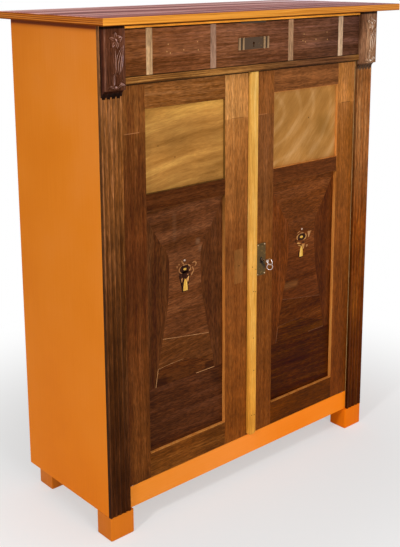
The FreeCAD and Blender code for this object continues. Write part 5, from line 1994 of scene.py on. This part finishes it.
LEFT_MAPLE = Wood(
    "left_maple", ("926028", "ac7738", "c69248"), Axis.X, -6.0, streak=7.0 * MM, stretch=13.0, sway=22.0 * MM,
    contrast=0.72, blend=(0.58, 0.3, 0.12), pores=0.05, mottle=0.12, fleck=0.08, wear=0.0,
    shades=((
        Axis.Z,
        ((0.86, 0.82), (0.90, 0.92), (0.945, 1.12), (0.985, 0.9), (1.03, 1.06), (1.08, (1.18, 1.2, 1.06))),
    ),),
    patches=(dot(-0.2495, 0.9454), dot(-0.3023, 0.9795, 0.6 * MM)),
)
RIGHT_MAPLE = replace(
    LEFT_MAPLE, name="right_maple", tones=("8e5a20", "b07a3c", "cc9a60"), tilt=-48.0, stretch=6.0,
    contrast=0.3, blend=(0.6, 0.26, 0.14), fleck=0.05, shades=(), rings=(0.08, 1.05, 0.0625, 0.14), start=0.8,
    patches=(
        dot(0.2323, 0.991, 1.1 * MM),
        Patch((0.285, 0.30), (0.955, 0.975), "7c5218", 0.42, 36.0 * MM),
    ),
)
LEFT_VENEERS = {
    Veneer.NECK: (
        ("4f2608", "603216", "764424"),
        ((0.53, (1.2, 1.26, 1.24)), (0.75, (1.0, 1.08, 1.2))),
        (
            Patch((-0.1755, -0.1725), (0.714, 0.718), "b08662", 0.2, 10.0 * MM),
            Patch((-0.166, -0.164), (0.694, 0.697), "b08662", 0.15, 11.0 * MM),
            Patch((-0.252, -0.250), (0.735, 0.800), "9a7250", 0.08, 9.0 * MM),
        ),
    ),
    Veneer.VASE: (("472205", "5a3010", "6c3e1d"), ((0.42, (1.12, 1.13, 1.3)), (0.49, 1.0)), ()),
    Veneer.BAND: (
        ("3c1804", "542a0c", "683a16"),
        (),
        (
            Patch((-0.317, -0.288), (0.358, 0.372), "240b03", 0.7, 18.0 * MM),
            Patch((-0.148, -0.124), (0.359, 0.374), "260c03", 0.55, 7.0 * MM),
        ),
    ),
    Veneer.LEFT: (("3c1808", "50290d", "62381a"),),
    Veneer.RIGHT: (("46200a", "552d11", "66381e"),),
    Veneer.FIELD: (("341506", "4b250d", "5c321b"),),
}
RIGHT_VENEERS = {
    Veneer.NECK: (
        ("522403", "65320e", "763f1a"),
        ((0.48, (0.8, 0.72, 0.7)), (0.55, (0.98, 0.92, 1.02)), (0.75, (1.16, 1.25, 1.55))),
        (Patch((0.155, 0.195), (0.517, 0.519), "a06a38", 0.26, 16.0 * MM),),
    ),
    Veneer.VASE: (("391301", "4d2203", "643412"), ((0.42, (1.28, 1.26, 1.1)), (0.49, (1.2, 1.24, 1.5))), ()),
    Veneer.BAND: (("350b01", "512501", "663406"),),
    Veneer.LEFT: (("522304", "67310a", "7f431f"),),
    Veneer.RIGHT: (("4a1e04", "59290a", "693512"),),
    Veneer.FIELD: (("300801", "421901", "552801"),),
}


LEFT_MEETING = stile(
    "left_meeting_stile_wood", (-0.066, -0.024), ("8e5320", "a3642d", "b8783e"), 0.5,
    ((0.57, 0.41, 0.18), (0.54, 0.44, 0.37), (1.44, 1.72, 2.1)), (1.14, 1.24, 1.36), "6a3c18",
)
LEFT_MARKS = (Patch((-0.054, -0.0235), (0.575, 0.668), "c08a48", 0.17), dot(-0.0375, 0.6227, 1.2 * MM))
DOORS = (
    Door(
        Side.LEFT,
        stile(
            "left_hinge_stile_wood", (-0.408, -0.364), ("4a200a", "603210", "74401d"), 0.2,
            ((1.0, 1.02, 0.8), (0.85, 0.76, 0.74), (1.95, 2.3, 2.5)), (1.55, 1.75, 1.7),
        ),
        replace(LEFT_MEETING, patches=LEFT_MEETING.patches + LEFT_MARKS),
        rail(
            "rail_walnut", ("6e3c12", "864f21", "9c6232"), 0.7,
            ((0.68, 0.6, 0.34), (0.31, 0.23, 0.18), (1.18, 1.25, 1.36)),
        ),
        LEFT_MAPLE,
        LIPPING_SHADED,
        veneers(Side.LEFT, LEFT_VENEERS),
        line_tones=("9a6840", "b68050", "cc9a68"),
        painted_light=0.3,
    ),
    Door(
        Side.RIGHT,
        stile(
            "right_hinge_stile_wood", (0.362, 0.4), ("76400c", "8d511c", "a0602a"), 1.1,
            ((0.68, 0.48, 0.25), (0.83, 0.72, 0.65), (1.78, 2.16, 3.4)), (1.3, 1.48, 2.2), "3a2210",
        ),
        stile(
            "right_meeting_stile_wood", (0.03, 0.062), ("6c3a14", "7c4922", "8c5630"), 1.6,
            ((0.93, 0.72, 0.31), (1.0, 0.89, 0.55), (1.25, 1.2, 1.0)),
        ),
        rail(
            "right_rail_walnut", ("6b3c19", "7c4721", "8f552a"), 1.9,
            ((0.53, 0.37, 0.01), (0.56, 0.46, 0.36), (0.94, 0.98, 1.04)),
        ),
        RIGHT_MAPLE,
        LIPPING,
        veneers(Side.RIGHT, RIGHT_VENEERS),
        line_tones=("5c361a", "70442a", "845636"),
        painted_light=0.85,
    ),
)


def fillets(side: Side, bright: float) -> Shade:
    """Tints along x: painted highlights on the ridges between a pilaster's flutes, painted shade in the
    hollows.

    Args:
        side: the half of the cabinet.
        bright: tint of a ridge's painted highlight.

    Returns:
        The stops of the tint.
    """
    cut = Bracket(side)
    low, high = corners_of(f"{side.word}_pilaster")
    half = 0.5 * cut.land
    ridges = low[0] + cut.margin - half + cut.pitch(high[0] - low[0]) * np.arange(cut.flutes + 1)
    hollow = (ridges[:-1] + ridges[1:]) / 2.0
    stops = [(float(place), 0.9) for place in hollow]
    for ridge in ridges:
        stops += [(float(ridge - half), 1.0), (float(ridge), bright), (float(ridge + half), 1.0)]
    return tuple(sorted(stops))


# Heights of the shade that the top board throws on the brackets.
BOARD_SHADE = ((1.2660, 1.0), (1.2685, 0.1))


def left_pilaster() -> Pilaster:
    """The left pilaster in its woods; the carving has painted shade, darker the deeper it lies.

    Returns:
        The pilaster.
    """
    outer = float(corners_of("left_pilaster")[0][0])
    heights = (
        (0.1, (0.22, 0.16, 0.12)), (0.65, (0.37, 0.32, 0.24)),
        (0.95, (1.05, 1.06, 1.08)), (1.1, (1.32, 1.38, 1.5)),
    )
    # Painted shade on the pilaster's outer side face.
    flank_shade = ((outer, 0.5), (outer + 0.6 * MM, 0.5), (outer + 1.5 * MM, 1.0))
    wood = Wood(
        "left_pilaster_wood", ("623610", "7c4a20", "9a6238"), streak=6.0 * MM, contrast=1.2,
        shades=((Axis.Z, heights), (Axis.X, flank_shade), (Axis.X, fillets(Side.LEFT, 1.7))),
    )
    low, high = corners_of("left_bracket")
    arris, front, back = float(low[0]), float(low[1]), float(high[1])
    # Painted light and shade by depth: paler on the foremost relief, darker down into the foot and the sides.
    depth_shade = (
        (front - 2.0 * MM, 1.15), (front + 3.2 * MM, 1.0),
        (front + 6.5 * MM, (0.55, 0.4, 0.36)), (back, 0.12),
    )
    # Painted highlight along the bracket face's outer upright edge.
    pale = (1.5, 1.75, 2.0)
    edge = ((arris, 1.0), (arris + 1.2 * MM, pale), (arris + 3.0 * MM, pale), (arris + 4.2 * MM, 1.0))
    # The ridges paint highlights, up to pale glints, and shade on the carving's slopes; BOARD_SHADE paints
    # the top board's shadow.
    carving = Wood(
        "left_carving_wood", ("3e1c0c", "5a321e", "724838"), gloss=0.35, shine=0.02, wear=0.2,
        ridges=(
            (0.0, 0.4), (0.3, 0.75), (0.5, 1.0), (0.66, (1.25, 1.35, 1.5)), (0.8, (2.6, 3.8, 5.6)),
            (0.95, (4.6, 8.6, 17.0)),
        ),
        shades=((Axis.Y, depth_shade), (Axis.X, edge), (Axis.Z, BOARD_SHADE)),
    )
    return Pilaster(Side.LEFT, wood, carving)


def right_pilaster(left: Pilaster) -> Pilaster:
    """The right pilaster, in lighter woods than the left one.

    Args:
        left: the left pilaster.

    Returns:
        The pilaster.
    """
    inner = float(corners_of("right_pilaster")[0][0])
    heights = ((0.1, (0.21, 0.105, 0.015)), (0.65, (0.68, 0.42, 0.12)), (0.95, 1.0))
    # Painted shade on the pilaster's inner side face, beside the door.
    gap = ((inner, 0.55), (inner + 0.6 * MM, 0.55), (inner + 1.2 * MM, 1.0))
    wood = replace(
        left.wood, name="right_pilaster_wood", tones=("844d1f", "975c2d", "b07a48"), start=0.8,
        shades=((Axis.Z, heights), (Axis.X, gap), (Axis.X, fillets(Side.RIGHT, 1.45))),
    )
    low, high = corners_of("left_bracket")
    front, back = float(low[1]), float(high[1])
    # Painted light and shade: by depth, in the hollow foot under the bracket, and on the carving's slopes by
    # its ridges.
    depth_shade = ((front - 2.0 * MM, 1.1), (front + 3.6 * MM, 1.0), (back, 0.85))
    hollow = ((1.106, 0.75), (1.113, 0.45), (1.121, 0.26), (1.1262, (0.42, 0.36, 0.3)), (1.1288, 1.0))
    carving = replace(
        left.carving, name="right_carving_wood", tones=("66402a", "8e6446", "a88262"), start=0.6,
        ridges=(
            (0.0, 0.3), (0.3, 0.7), (0.5, 1.15), (0.64, (1.5, 1.6, 1.7)), (0.8, (2.2, 2.8, 3.6)),
            (0.94, (2.8, 4.6, 7.5)),
        ),
        shades=((Axis.Y, depth_shade), (Axis.Z, hollow + BOARD_SHADE)),
    )
    return Pilaster(Side.RIGHT, wood, carving)


def main() -> None:
    """Builds the cabinet's looks in order."""
    logging.basicConfig(level=logging.INFO, format="%(name)s: %(message)s")
    left = left_pilaster()
    pilasters = (left, right_pilaster(left))
    for part in (Carcass(), *pilasters, Drawer(), *DOORS, LockSet(), Studio()):
        part.build()


if __name__ == "__main__":
    main()
